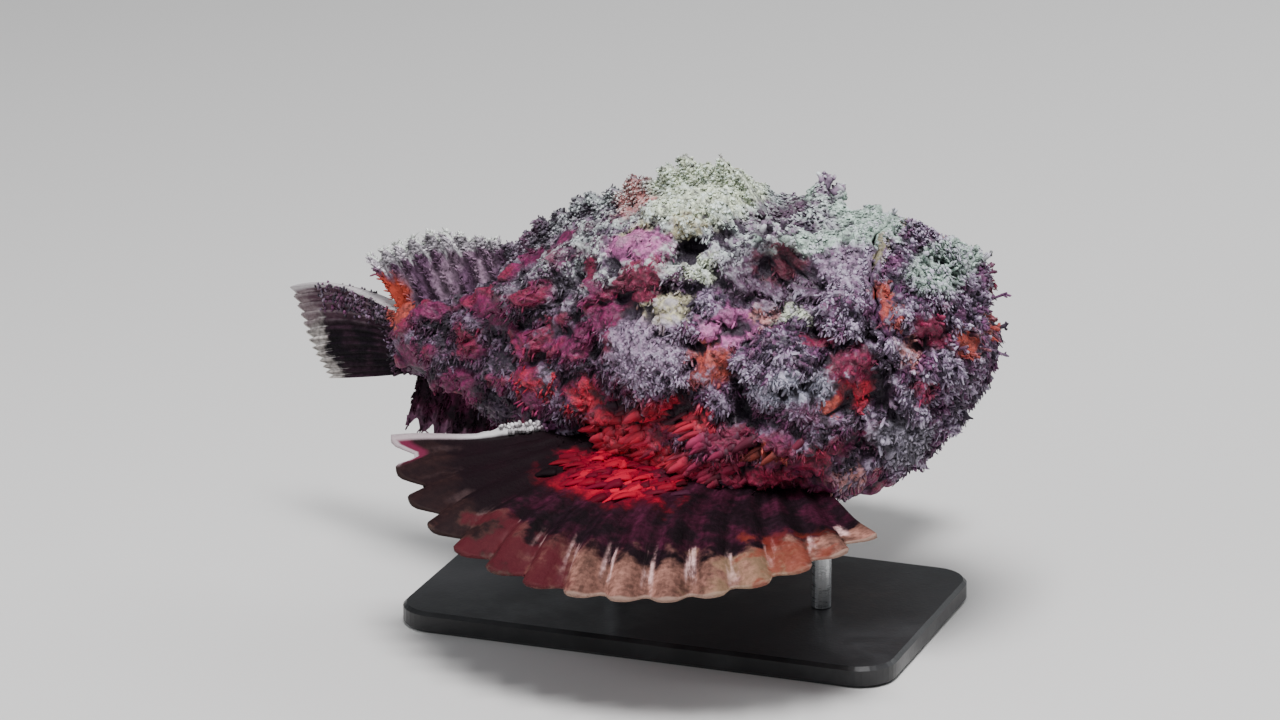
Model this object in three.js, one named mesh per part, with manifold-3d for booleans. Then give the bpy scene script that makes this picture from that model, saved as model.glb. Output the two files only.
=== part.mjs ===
// A reef stonefish, life size, swimming over a plain display stand.
// Millimetres. In the fish's own frame +X points from the tail to the snout, +Y to its left and
// +Z to its back, and its axis is at z = 0. The tail is bent to the left, and the whole fish is
// then pitched nose up and lifted to its height above the table.
import * as THREE from "three";
import { mergeVertices } from "three/addons/utils/BufferGeometryUtils.js";
import Module from "manifold-3d";

const wasm = await Module();
wasm.setup();
const { clamp, degToRad, lerp, smoothstep } = THREE.MathUtils;

// Driving dimensions
const chinX = 127; // front of the lower jaw
const faceTopX = 90; // the back rounds off into the face from here
const faceBottomX = 61; // and the belly from here
const tailRootX = -128; // where the tail fin joins the body
const tailFinLength = 54;
const eyeRadius = 4.8;
const axisHeight = 112; // body axis above the table
const pitch = degToRad(6.3); // nose up
const gap = 0.3; // joint between neighbouring pieces
const tailBend = degToRad(26); // swing of the tail tip to the left
const bendFromX = -44;
const rightSide = -1;
const leftSide = 1;
const bothSides = [rightSide, leftSide];
const seed = 7;

// Colours, from the photograph
const stoneMauve = 0x8d8094;
const algaeGrey = 0xa9ad9f;
const crimson = 0x8f2438;
const coralRed = 0xc0392b;
const finTan = 0x9a6f62;
const eyeMaroon = 0x4a1a22;
const standBlack = 0x26262a;
const rodSteel = 0xb8bcc0;

// Curves and small helpers

// A smooth curve through [x, value] points, read at any x.
function curveThrough(points) {
  const slopes = points.map((point, i) => {
    const before = points[Math.max(i - 1, 0)];
    const after = points[Math.min(i + 1, points.length - 1)];
    return (after[1] - before[1]) / (after[0] - before[0]);
  });
  return (x) => {
    let i = 0;
    while (i < points.length - 2 && x > points[i + 1][0]) i += 1;
    const [x0, y0] = points[i];
    const [x1, y1] = points[i + 1];
    const span = x1 - x0;
    const t = clamp((x - x0) / span, 0, 1);
    const rise = t * t * (3 - 2 * t);
    const leave = span * slopes[i] * t * (1 - t) * (1 - t);
    const arrive = span * slopes[i + 1] * t * t * (1 - t);
    return y0 + (y1 - y0) * rise + leave - arrive;
  };
}

const signedPower = (value, power) => Math.sign(value) * Math.abs(value) ** power;

// Draws between 0 and 1, the same each time.
function seededDraws(start) {
  let state = start;
  return () => {
    state = (state * 1664525 + 1013904223) % 4294967296;
    return state / 4294967296;
  };
}

// Moves every vertex of a geometry to where move(vertex) says.
function mould(geometry, move) {
  const places = geometry.getAttribute("position");
  const vertex = new THREE.Vector3();
  for (let i = 0; i < places.count; i += 1) {
    const moved = move(vertex.fromBufferAttribute(places, i));
    places.setXYZ(i, moved.x, moved.y, moved.z);
  }
  return geometry;
}

// Turns the faces of a closed, indexed geometry outwards.
function facingOut(geometry) {
  const places = geometry.getAttribute("position");
  const order = geometry.index.array;
  const corners = [new THREE.Vector3(), new THREE.Vector3(), new THREE.Vector3()];
  let volume = 0;
  for (let i = 0; i < order.length; i += 3) {
    corners.forEach((corner, k) => corner.fromBufferAttribute(places, order[i + k]));
    volume += corners[0].dot(corners[1].cross(corners[2]));
  }
  for (let i = 0; volume < 0 && i < order.length; i += 3) {
    [order[i + 1], order[i + 2]] = [order[i + 2], order[i + 1]];
  }
  return geometry;
}

// A closed geometry as a solid that can be joined and cut.
function solidOf(geometry) {
  const bare = new THREE.BufferGeometry();
  bare.setAttribute("position", geometry.getAttribute("position"));
  if (geometry.index) bare.setIndex(geometry.index);
  const merged = facingOut(mergeVertices(bare, 1e-4));
  return new wasm.Manifold(
    new wasm.Mesh({
      numProp: 3,
      vertProperties: new Float32Array(merged.getAttribute("position").array),
      triVerts: new Uint32Array(merged.index.array),
    }),
  );
}

const joined = (geometries) => wasm.Manifold.union(geometries.map(solidOf));

// A solid's largest closed surface, as a geometry again, without slivers.
const sliver = 0.16;
function geometryOf(solid) {
  const largest = solid.decompose().sort((a, b) => b.volume() - a.volume())[0];
  const mesh = largest.simplify(sliver).getMesh();
  const geometry = new THREE.BufferGeometry();
  geometry.setAttribute("position", new THREE.BufferAttribute(mesh.vertProperties, 3));
  geometry.setIndex(new THREE.BufferAttribute(mesh.triVerts, 1));
  return geometry;
}

// The body: height of back and belly, its middle, and half the width, along the fish

const backAt = curveThrough([
  [-132, 15], [-100, 21], [-67, 40], [-40, 55], [-12, 64], [10, 71], [27, 70], [44, 60],
  [62, 54], [faceTopX, 50],
]);
const bellyAt = curveThrough([
  [-132, -13], [-104, -18], [-72, -32], [-36, -47], [0, -56], [34, -59], [faceBottomX, -59],
]);
const middleAt = curveThrough([[-132, 1], [-72, 0], [0, -1], [60, -4], [100, 1], [chinX, 3]]);
const halfWidthAt = curveThrough([
  [-132, 7], [-104, 12], [-72, 23], [-36, 38], [0, 49], [34, 53], [62, 51], [faceTopX, 45],
]);

// Swellings and pits of the skin, alike on both sides: place, spread and rise in millimetres
const reliefs = [
  { at: [55, 31, 55], spread: [9.5, 11, 11], rise: 16 }, // knob that carries the eye
  { at: [84, 14, 56], spread: [14, 12, 14], rise: 3 }, // snout
  { at: [37, 0, 58], spread: [8, 30, 14], rise: -6 }, // saddle behind the eyes
  { at: [54, 0, 55], spread: [15, 13, 14], rise: -7 }, // hollow between the eyes
  { at: [58, 46, 36], spread: [12, 14, 9], rise: -9 }, // pit under the eye
  { at: [20, 38, 50], spread: [8, 11, 8], rise: -8 }, // pit behind the eye
  { at: [4, 48, 16], spread: [20, 22, 20], rise: 5 }, // gill cover
  { at: [62, 48, -6], spread: [24, 16, 22], rise: 4 }, // cheek
  { at: [-6, 36, 50], spread: [26, 16, 10], rise: 4 }, // shoulder
  { at: [10, 50, -34], spread: [38, 16, 18], rise: 6 }, // root of the pectoral fin
];

function reliefAt(x, y, z) {
  return reliefs.reduce((sum, { at, spread, rise }) => {
    const dx = (x - at[0]) / spread[0];
    const dy = (Math.abs(y) - at[1]) / spread[1];
    const dz = (z - at[2]) / spread[2];
    return sum + rise * Math.exp(-dx * dx - dy * dy - dz * dz);
  }, 0);
}

// How much of its full reach the body still has at x, where it rounds off from startX forwards;
// a rounding of 2 is an ellipse, a greater one is blunter.
const browRound = 1.85;
const chinRound = 1.6;
const cheekRound = 2.1;
function roundOff(x, startX, rounding) {
  const s = clamp((x - startX) / (chinX - startX), 0, 1);
  return (1 - s ** rounding) ** (1 / rounding);
}

// The section is boxy along the body and round on the face.
const boxy = (power, x) => lerp(power, 1, smoothstep(x, 84, 116));

// A point of the skin at x, turned from the back (0) towards the left flank; lift stands off it.
function skinPoint(x, turn, lift = 0) {
  const middle = middleAt(x);
  const up = Math.cos(turn);
  const heightAbove = (backAt(x) - middle) * roundOff(x, faceTopX, browRound);
  const heightBelow = (middle - bellyAt(x)) * roundOff(x, faceBottomX, chinRound);
  const above = heightAbove * Math.abs(up) ** boxy(0.8, x);
  const below = heightBelow * Math.abs(up) ** boxy(0.7, x);
  const reach = up > 0 ? above : -below;
  const sideways = signedPower(Math.sin(turn), boxy(0.85, x));
  const y = halfWidthAt(x) * roundOff(x, faceTopX, cheekRound) * sideways;
  const out = new THREE.Vector2(y, reach);
  const away = out.length() > 1e-6 ? out.clone().normalize() : out;
  const rise = reliefAt(x, y, middle + reach) * Math.min(1, out.length()) + lift;
  return new THREE.Vector3(x, y + away.x * rise, middle + reach + away.y * rise);
}

// The turn at which the skin of one side passes the height z, by halving.
function turnAtHeight(x, z, side) {
  let low = 0;
  let high = Math.PI;
  for (let i = 0; i < 24; i += 1) {
    const half = (low + high) / 2;
    if (skinPoint(x, half).z > z) low = half;
    else high = half;
  }
  return side * low;
}

// Distance back from the chin over the skin, as one measure for the face and the body behind it.
const faceTravel = ((chinX - faceTopX) * Math.PI) / 2;
function xAfter(travel) {
  if (travel > faceTravel) return faceTopX - (travel - faceTravel);
  const round = (Math.max(travel, 0) / faceTravel) * (Math.PI / 2);
  return faceTopX + (chinX - faceTopX) * Math.cos(round);
}
function travelTo(x) {
  if (x < faceTopX) return faceTravel + faceTopX - x;
  return (Math.acos((x - faceTopX) / (chinX - faceTopX)) * faceTravel) / (Math.PI / 2);
}

const bodyRings = 41;
const bodyAround = 30;
const faceRings = 9; // rings spent on the face
const tailOverhang = 4; // beyond the tail root, trimmed off again

// The whole body as one closed surface: a sphere's rings strung along the fish.
function bodySkin(lift = 0) {
  const sphere = new THREE.SphereGeometry(1, bodyAround, bodyRings);
  const bodyTravel = travelTo(tailRootX - tailOverhang);
  return mould(sphere, (p) => {
    const ring = Math.round((Math.acos(clamp(p.y, -1, 1)) / Math.PI) * bodyRings);
    if (ring === 0) return new THREE.Vector3(chinX + lift, 0, middleAt(chinX));
    if (ring === bodyRings) return new THREE.Vector3(tailRootX - tailOverhang - 1, 0, 0);
    const share = (ring - faceRings) / (bodyRings - 1 - faceRings);
    const travel =
      ring < faceRings ? (faceTravel * ring) / faceRings : lerp(faceTravel, bodyTravel, share);
    return skinPoint(xAfter(travel), Math.atan2(p.z, p.x), lift);
  });
}

// Folds of the skin

// A fold of skin as a leaf with a fringed lower rim, wrapped on the body: wide along the fish,
// tall down the flank, its lower rim standing off the skin and its upper rim sunk in it.
function skinLobe({ x, z, wide, tall, tips = 4, thick = 4.5, stand = 4, side }, draw) {
  const around = 2 * tips + 4;
  const start = travelTo(x);
  const turn = turnAtHeight(x, z, side);
  const bit = 0.02;
  const perTurn = skinPoint(x, turn - bit).distanceTo(skinPoint(x, turn + bit)) / (2 * bit);
  const on = (forward, down, lift) =>
    skinPoint(xAfter(start - forward), turn + (side * down) / perTurn, lift);
  const lengths = Array.from({ length: around }, () => 1.02 + 0.2 * draw());
  const leaf = new THREE.SphereGeometry(1, around, 3);
  return mould(leaf, (p) => {
    if (p.y > 0.99) return on(0, 0, thick);
    if (p.y < -0.99) return on(0, 0, -thick);
    const turned = Math.atan2(p.z, p.x) / (2 * Math.PI);
    const k = Math.round((turned < 0 ? turned + 1 : turned) * around) % around;
    const fringed = k <= 2 * tips;
    const angle = fringed
      ? lerp(-1.9, 1.9, k / (2 * tips))
      : lerp(1.9, 2 * Math.PI - 1.9, (k - 2 * tips) / (around - 2 * tips));
    const isTip = fringed && k % 2 === 1;
    const hangs = 0.5 + 0.5 * Math.cos(angle);
    const inner = p.y > 0;
    const notch = isTip ? lengths[k] : 0.86;
    const reach = inner ? 0.62 : fringed ? lerp(1, notch, hangs) : 1;
    const droop = isTip && !inner ? 2.5 * hangs : 0;
    const lift = inner ? thick * 0.9 + stand * 0.3 * hangs : lerp(-2.5, stand, hangs);
    return on(wide * reach * Math.sin(angle), tall * reach * Math.cos(angle) + droop, lift);
  });
}

// Where the folds sit, as heights on either flank, from the photograph's side
const lobes = [
  { x: 3, z: 17, wide: 21, tall: 18, tips: 6, thick: 6, stand: 5 }, // gill cover
  { x: 58, z: 15, wide: 20, tall: 12, tips: 6, thick: 5, stand: 4 }, // cheek, under the eye
  { x: 66, z: -12, wide: 24, tall: 14, tips: 7, thick: 5, stand: 5 }, // lower cheek
  { x: 31, z: 8, wide: 12, tall: 15, tips: 4 },
  { x: 84, z: 33, wide: 11, tall: 17, tips: 4 }, // side of the snout
  { x: 4, z: 48, wide: 20, tall: 9, tips: 5 }, // shoulder
  { x: 42, z: 44, wide: 9, tall: 8, tips: 3, thick: 3.5 },
  { x: -37, z: 22, wide: 17, tall: 12, tips: 5 },
  { x: -16, z: 40, wide: 13, tall: 8, tips: 4 },
  { x: -60, z: 29, wide: 13, tall: 8, tips: 4, thick: 3.5, stand: 3 },
  { x: -69, z: -2, wide: 14, tall: 10, tips: 4, thick: 3.5, stand: 3 },
  { x: -40, z: -6, wide: 16, tall: 11, tips: 5 },
  { x: -36, z: -29, wide: 12, tall: 8, tips: 4, thick: 3.5, stand: 3 },
  { x: -98, z: 6, wide: 10, tall: 7, tips: 3, thick: 2.5, stand: 2.5 },
  { x: -102, z: -9, wide: 10, tall: 6, tips: 3, thick: 2.5, stand: 2.5 },
  { x: 30, z: -18, wide: 17, tall: 9, tips: 5 }, // over the root of the pectoral fin
  { x: -14, z: 6, wide: 10, tall: 9, tips: 3, thick: 3.5 },
  { x: 76, z: -36, wide: 13, tall: 8, tips: 4, thick: 3.5 }, // throat
  { x: 111, z: 23, wide: 12, tall: 9, tips: 4, thick: 2.5, stand: 3 }, // chin
  { x: 116, z: 2, wide: 12, tall: 10, tips: 4, thick: 2.5, stand: 3 },
  { x: 103, z: -22, wide: 14, tall: 9, tips: 5, thick: 3, stand: 3 },
];

// Warts: small domes scattered over the back and flanks, half sunk.
const wartRadii = [2.2, 2.8, 3.6];
function warts(draw) {
  const count = 46;
  const goldenTurn = Math.PI * (3 - Math.sqrt(5));
  return Array.from({ length: count }, (_, i) => {
    const x = lerp(112, -118, (i + 0.5) / count);
    const swing = ((i * goldenTurn) % (2 * Math.PI)) - Math.PI;
    const turn = swing * 0.62 + Math.sign(swing) * 0.2;
    const radius = wartRadii[Math.floor(draw() * wartRadii.length)] * (x < -70 ? 0.75 : 1);
    const place = skinPoint(x, turn, radius * 0.2);
    const wart = new THREE.IcosahedronGeometry(radius, 0);
    wart.rotateX(draw() * Math.PI).scale(1.1, 1, 1);
    return wart.translate(place.x, place.y, place.z);
  });
}

// A tapering tab of skin: a flat cone from inside the skin out to a tip.
function tab(root, tip, width) {
  const along = tip.clone().sub(root);
  const cone = new THREE.ConeGeometry(width / 2, along.length(), 5, 2);
  cone.scale(1, 1, 0.55).translate(0, along.length() / 2, 0);
  mould(cone, (p) => p.clone().setX(p.x + (0.12 * p.y * p.y) / along.length()));
  const turn = new THREE.Quaternion().setFromUnitVectors(
    new THREE.Vector3(0, 1, 0),
    along.clone().normalize(),
  );
  return cone.applyQuaternion(turn).translate(root.x, root.y, root.z);
}

// Mouth: an upturned cleft between two lips, over the snout and down to a corner on each cheek

const mouthCornerX = 102;
const mouthCornerZ = 4;
const mouthTilt = degToRad(15); // the cleft leans back this far towards the snout
const throatTilt = degToRad(32); // and the jaw's lower end runs back this far under the cheek
const cleftWidth = 2;
const lipRadius = 4.2;

const mouthX = (z) => mouthCornerX - (z - mouthCornerZ) * Math.tan(mouthTilt);

// A point of the skin on the cleft at a turn, found by going to and fro a few times.
function onMouth(turn, lift = 0) {
  let place = skinPoint(mouthCornerX, turn, lift);
  for (let i = 0; i < 6; i += 1) place = skinPoint(mouthX(place.z), turn, lift);
  return place;
}

const cornerTurn = turnAtHeight(mouthCornerX, mouthCornerZ, leftSide);

// Both lips as one round bead along the cleft, which the cleft then splits.
function lipBead() {
  const turns = Array.from({ length: 11 }, (_, i) => lerp(-cornerTurn, cornerTurn, i / 10));
  const path = new THREE.CatmullRomCurve3(turns.map((turn) => onMouth(turn, -1)));
  const section = new THREE.Shape();
  section.absarc(0, 0, lipRadius, 0, 2 * Math.PI);
  return new THREE.ExtrudeGeometry(section, {
    steps: 18,
    curveSegments: 3,
    bevelEnabled: false,
    extrudePath: path,
  });
}

// Tabs of skin that stand out from the chin, as [x, turn from the top] in rows.
const chinTabs = [[102, 0.5], [108, 0.2], [112, 0.75], [117, 0.4], [119, 1.2], [114, 1.7]];
function chinFringe(side, draw) {
  return chinTabs.map(([x, turn]) => {
    const root = skinPoint(x, side * turn, -2);
    const tip = skinPoint(x, side * (turn + 0.05), 5 + 2 * draw()).add(new THREE.Vector3(3, 0, -1));
    return tab(root, tip, 4.5);
  });
}

// Fringe of tabs on both lips.
const lipTabs = 6;
function lipFringe() {
  const tabs = [];
  for (const lip of [-1, 1]) {
    for (let i = 0; i < lipTabs; i += 1) {
      const turn = lerp(-0.86, 0.86, i / (lipTabs - 1)) * cornerTurn;
      const root = onMouth(turn, 1).setX(mouthX(onMouth(turn).z) + lip * 3);
      const tip = onMouth(turn, 8).setX(mouthX(onMouth(turn).z) + lip * 6.5);
      tabs.push(tab(root, tip, 3.4));
    }
  }
  return tabs;
}

// The lower jaw as a wedge seen from the side: ahead of the cleft and of the line under the
// cheek. Moved back by the joint's width, and with the cleft opened, it cuts the head.
const far = 120; // beyond the fish on every side
function jawWedge(back, open) {
  const outline = new THREE.Shape();
  const corner = new THREE.Vector2(mouthCornerX - back, mouthCornerZ);
  outline.moveTo(corner.x, corner.y);
  outline.lineTo(corner.x - open, corner.y);
  outline.lineTo(corner.x - open - far * Math.tan(mouthTilt), corner.y + far);
  outline.lineTo(corner.x + far, corner.y + far);
  outline.lineTo(corner.x + far, corner.y - far);
  outline.lineTo(corner.x - far * Math.tan(throatTilt), corner.y - far);
  const wedge = new THREE.ExtrudeGeometry(outline, { depth: 2 * far, bevelEnabled: false });
  return wedge.translate(0, 0, -far).rotateX(Math.PI / 2);
}

// Nostrils: two short open tubes on the snout
const nostrilX = 80;
const nostrilTurn = 0.32;
const nostrilProfile = [[0, -3], [3, -3], [2.5, 2.6], [1.3, 2.6], [1.1, 0.6], [0, 0.6]];
function nostril(side) {
  const tube = new THREE.LatheGeometry(
    nostrilProfile.map(([r, y]) => new THREE.Vector2(r, y)),
    7,
  );
  const place = skinPoint(nostrilX, side * nostrilTurn, 0.5);
  const lean = side * nostrilTurn;
  return tube.rotateX(Math.PI / 2 - lean).translate(place.x, place.y, place.z);
}

// Eyes: small balls on the outer face of the knobs, ringed by a lid, with a brow of two horns
const eyeX = 53;
const eyeZ = 51;
const eyeSunk = 1.6;
function eyeCentre(side) {
  return skinPoint(eyeX, turnAtHeight(eyeX, eyeZ, side), -eyeSunk);
}

const ballAt = (centre, radius) =>
  new THREE.SphereGeometry(radius, 12, 7).translate(centre.x, centre.y, centre.z);

const lidRadius = 2.1; // of the rim round the eye
function eyeLid(side) {
  const centre = eyeCentre(side);
  const ring = new THREE.TorusGeometry(eyeRadius + gap, lidRadius, 5, 11);
  const outward = new THREE.Vector3(0.1, side, 0.28).normalize();
  const turn = new THREE.Quaternion().setFromUnitVectors(new THREE.Vector3(0, 0, 1), outward);
  const place = centre.addScaledVector(outward, lidRadius);
  return ring.applyQuaternion(turn).translate(place.x, place.y, place.z);
}

const hornPlaces = [[48, 0.52, 5], [60, 0.48, 8]]; // x, turn from the back and height of each
function browHorns(side) {
  return hornPlaces.map(([x, turn, height]) => {
    const root = skinPoint(x, side * turn, -1.5);
    const tip = root.clone().add(new THREE.Vector3(1, side * 1.5, height));
    return tab(root, tip, 7);
  });
}

// Fins

// A fin as one closed sheet. middle(u, v) is its mid surface, u from ray to ray and v from root
// to edge, and thickness(u, v) its thickness there. Both faces are split into triangles alike.
// swell makes the sheet thicker all round, for cutting room for it.
function finSheet(columns, rows, middle, thickness, swell = 0) {
  const step = 1e-3;
  const places = [];
  const index = [];
  const stride = rows + 1;
  const faceSize = (columns + 1) * stride;
  for (const face of [1, -1]) {
    for (let i = 0; i <= columns; i += 1) {
      for (let j = 0; j <= rows; j += 1) {
        const u = i / columns;
        const v = j / rows;
        const acrossU = middle(u + step, v).sub(middle(u - step, v)).normalize();
        const acrossV = middle(u, v + step).sub(middle(u, v - step)).normalize();
        const normal = acrossU.clone().cross(acrossV).normalize();
        const half = thickness(u, v) / 2 + swell;
        const place = middle(u, v).addScaledVector(normal, face * half);
        if (i === 0) place.addScaledVector(acrossU, -swell);
        if (i === columns) place.addScaledVector(acrossU, swell);
        places.push(place.x, place.y, place.z);
      }
    }
  }
  const quad = (a, b, c, d) => index.push(a, b, c, a, c, d);
  for (let i = 0; i < columns; i += 1) {
    for (let j = 0; j < rows; j += 1) {
      const a = i * stride + j;
      const b = a + stride;
      quad(a, b, b + 1, a + 1);
      quad(faceSize + a, faceSize + a + 1, faceSize + b + 1, faceSize + b);
    }
  }
  const edge = [];
  for (let i = 0; i < columns; i += 1) edge.push(i * stride);
  for (let j = 0; j < rows; j += 1) edge.push(columns * stride + j);
  for (let i = columns; i > 0; i -= 1) edge.push(i * stride + rows);
  for (let j = rows; j > 0; j -= 1) edge.push(j);
  edge.forEach((a, k) => {
    const b = edge[(k + 1) % edge.length];
    quad(a, a + faceSize, b + faceSize, b);
  });
  const geometry = new THREE.BufferGeometry();
  geometry.setAttribute("position", new THREE.Float32BufferAttribute(places, 3));
  geometry.setIndex(index);
  return facingOut(geometry);
}

// 1 on each of the rays and 0 half way between them, and the same for a rounder scallop.
const rayAt = (u, rays) => Math.cos(Math.PI * rays * u) ** 2;
const scallopAt = (u, rays) => 1 - (1 - rayAt(u, rays)) ** 2;

// The pectoral fin: a fan from a slanting root line on the lower flank, spread to the side.
const pectoral = {
  rays: 14,
  rearRoot: [-32, -28], // x and z of the root line's ends
  frontRoot: [58, -47],
  sunk: 8, // starts this far inside the flank, before it is cut back
  fanCentre: [4, 46], // x and distance from the middle plane
  fanReach: [111, 90], // reach along the fish and out to the side
  fanFrom: degToRad(17), // first ray, from straight back
  fanTo: { right: degToRad(154), left: degToRad(129) }, // last ray: the left fin is less spread
  camber: 6,
  bow: 7, // the rays bend this far back on their way out
};
const pectoralEdgeZ = curveThrough([
  [0, -15], [0.07, -24], [0.16, -34], [0.28, -45], [0.42, -54], [0.56, -59], [0.72, -60], [1, -50],
]);

function pectoralFin(side, swell = 0) {
  const { rays, rearRoot, frontRoot, sunk, fanCentre, fanReach } = pectoral;
  const lastRay = side === leftSide ? pectoral.fanTo.left : pectoral.fanTo.right;
  const middle = (u, v) => {
    const rootX = lerp(rearRoot[0], frontRoot[0], u);
    const rootZ = lerp(rearRoot[1], frontRoot[1], u);
    const flank = Math.abs(skinPoint(rootX, turnAtHeight(rootX, rootZ, leftSide)).y);
    const angle = lerp(pectoral.fanFrom, lastRay, u);
    const scallop = 1 - 0.08 * (1 - scallopAt(u, rays)) * v * v;
    const tip = new THREE.Vector3(
      fanCentre[0] - fanReach[0] * scallop * Math.cos(angle),
      fanCentre[1] + fanReach[1] * scallop * Math.sin(angle),
      pectoralEdgeZ(u),
    );
    const root = new THREE.Vector3(rootX, flank - sunk, rootZ);
    const place = root.lerp(tip, v);
    const inside = Math.sin(Math.PI * clamp(v, 0, 1)) * Math.sin(Math.PI * clamp(u, 0, 1));
    place.z += pectoral.camber * inside;
    place.x -= pectoral.bow * inside;
    place.y *= side;
    return place;
  };
  const thickness = (u, v) => {
    const web = lerp(7, 1.4, Math.min(1, v * 1.5));
    return web + 1.8 * rayAt(u, rays) * Math.sin(Math.PI * clamp(v + 0.12, 0, 1));
  };
  return finSheet(rays * 3, 4, middle, thickness, swell);
}

// An upright fin in the fish's middle plane: root line and edge line as [x, z] curves of u.
function uprightFin({ rays, perRay, rows, rootAt, edgeAt, notch, web, ridge }, swell) {
  const middle = (u, v) => {
    const root = rootAt(u);
    const edge = edgeAt(u);
    const reach = v * (1 - notch * (1 - rayAt(u, rays)));
    return new THREE.Vector3(lerp(root[0], edge[0], reach), 0, lerp(root[1], edge[1], reach));
  };
  const thickness = (u, v) => (web + ridge * rayAt(u, rays)) * lerp(1, 0.4, v);
  return finSheet(rays * perRay, rows, middle, thickness, swell);
}

const finSunk = 6; // upright fins start this far inside the body, before they are cut back

const spinyDorsal = { rays: 13, from: 40, to: -66, lean: 9 };
const spineHeight = curveThrough([[0, 5], [0.12, 9], [0.5, 9], [1, 10]]);
function spinyDorsalFin(swell = 0) {
  const { rays, from, to, lean } = spinyDorsal;
  const xAt = (u) => lerp(from, to, u);
  return uprightFin(
    {
      rays,
      perRay: 2,
      rows: 3,
      rootAt: (u) => [xAt(u), backAt(xAt(u)) - finSunk],
      edgeAt: (u) => [xAt(u) - lean, backAt(xAt(u) - lean) + spineHeight(u)],
      notch: 0.26,
      web: 5.5,
      ridge: 4,
    },
    swell,
  );
}

const softDorsal = { rays: 8, from: -71, to: -125 };
function softDorsalFin(swell = 0) {
  const { rays, from, to } = softDorsal;
  const xAt = (u) => lerp(from, to, u);
  const edgeX = curveThrough([[0, -79], [1, -144]]);
  const edgeZ = curveThrough([[0, 46], [0.45, 48], [1, 36]]);
  return uprightFin(
    {
      rays,
      perRay: 3,
      rows: 4,
      rootAt: (u) => [xAt(u), backAt(xAt(u)) - finSunk],
      edgeAt: (u) => [edgeX(u), edgeZ(u)],
      notch: 0.12,
      web: 2.6,
      ridge: 1.8,
    },
    swell,
  );
}

const analFin = { rays: 8, from: -62, to: -120 };
function analFinSheet(swell = 0) {
  const { rays, from, to } = analFin;
  const xAt = (u) => lerp(from, to, u);
  const edgeX = curveThrough([[0, -74], [1, -134]]);
  const edgeZ = curveThrough([[0, -44], [0.5, -45], [1, -36]]);
  return uprightFin(
    {
      rays,
      perRay: 2,
      rows: 4,
      rootAt: (u) => [xAt(u), bellyAt(xAt(u)) + finSunk],
      edgeAt: (u) => [edgeX(u), edgeZ(u)],
      notch: 0.16,
      web: 2.4,
      ridge: 1.6,
    },
    swell,
  );
}

// The tail fin trails: its upper rays are the longest, and their tips droop.
const tailFin = { rays: 12, rootHalf: 12, upper: degToRad(25), lower: degToRad(-13), droop: 20 };
const tailRayShare = curveThrough([[0, 1.36], [0.3, 1.17], [0.65, 1.0], [1, 0.93]]);
function tailFinSheet() {
  const { rays, rootHalf, upper, lower, droop } = tailFin;
  const middle = (u, v) => {
    const angle = lerp(upper, lower, u);
    const scallop = 1 - 0.05 * (1 - rayAt(u, rays)) * v;
    const reach = tailFinLength * tailRayShare(u) * scallop * v;
    const rise = reach * Math.sin(angle) * (1 - 0.2 * v) - droop * (1 - u) * v * v;
    const rootZ = lerp(rootHalf, -rootHalf, u);
    return new THREE.Vector3(tailRootX - gap - reach * Math.cos(angle), 0, rootZ + rise);
  };
  const thickness = (u, v) => {
    const web = lerp(7, 1.2, Math.min(1, v * 1.8));
    return web + 1.5 * rayAt(u, rays) * (1 - 0.5 * v);
  };
  return finSheet(rays * 2, 4, middle, thickness);
}

// The pelvic fins lie folded along the belly, each a short fan that points back.
const pelvic = { rays: 6, rootFrom: [30, 14], rootTo: [8, 30], length: 46 };
function pelvicFin(side) {
  const { rays, rootFrom, rootTo, length } = pelvic;
  const middle = (u, v) => {
    const scallop = 1 - 0.1 * (1 - rayAt(u, rays)) * v;
    const reach = length * scallop * v;
    const angle = degToRad(lerp(4, 24, u));
    return new THREE.Vector3(
      lerp(rootFrom[0], rootTo[0], u) - reach * Math.cos(angle),
      side * (lerp(rootFrom[1], rootTo[1], u) + reach * Math.sin(angle)),
      -48 - 17 * Math.min(1, v * 2.2) + 3 * v,
    );
  };
  const thickness = (u, v) => lerp(4, 1.4, v) + 1.4 * rayAt(u, rays) * (1 - 0.4 * v);
  return finSheet(rays * 2, 4, middle, thickness);
}

// The stand: a bevelled plate and two rods
const base = { length: 210, width: 124, corner: 14, thick: 9, bevel: 1.5 };
const rod = { radius: 4, sunk: 8, places: [-36, 52] };

function standBase() {
  const outline = new THREE.Shape();
  const x = base.length / 2 - base.bevel;
  const y = base.width / 2 - base.bevel;
  const r = base.corner;
  outline.absarc(x - r, -y + r, r, -Math.PI / 2, 0);
  outline.absarc(x - r, y - r, r, 0, Math.PI / 2);
  outline.absarc(-x + r, y - r, r, Math.PI / 2, Math.PI);
  outline.absarc(-x + r, -y + r, r, Math.PI, 1.5 * Math.PI);
  const plate = new THREE.ExtrudeGeometry(outline, {
    depth: base.thick - 2 * base.bevel,
    bevelThickness: base.bevel,
    bevelSize: base.bevel,
    bevelSegments: 1,
    curveSegments: 4,
  });
  return plate.translate(0, 0, base.bevel);
}

// From the fish's own frame to the table's, and back.
const pose = new THREE.Matrix4()
  .makeTranslation(0, 0, axisHeight)
  .multiply(new THREE.Matrix4().makeRotationY(-pitch));
const unpose = pose.clone().invert();

// An upright rod from just above the plate into the belly, in the fish's own frame; the part
// inside the belly is cut off again.
function standRod(x) {
  const bottom = base.thick + gap;
  const belly = new THREE.Vector3(x, 0, bellyAt(x)).applyMatrix4(pose);
  const top = belly.z + rod.sunk;
  const cylinder = new THREE.CylinderGeometry(rod.radius, rod.radius, top - bottom, 16);
  cylinder.rotateX(Math.PI / 2).translate(belly.x, 0, (top + bottom) / 2);
  return cylinder.applyMatrix4(unpose);
}

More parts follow.
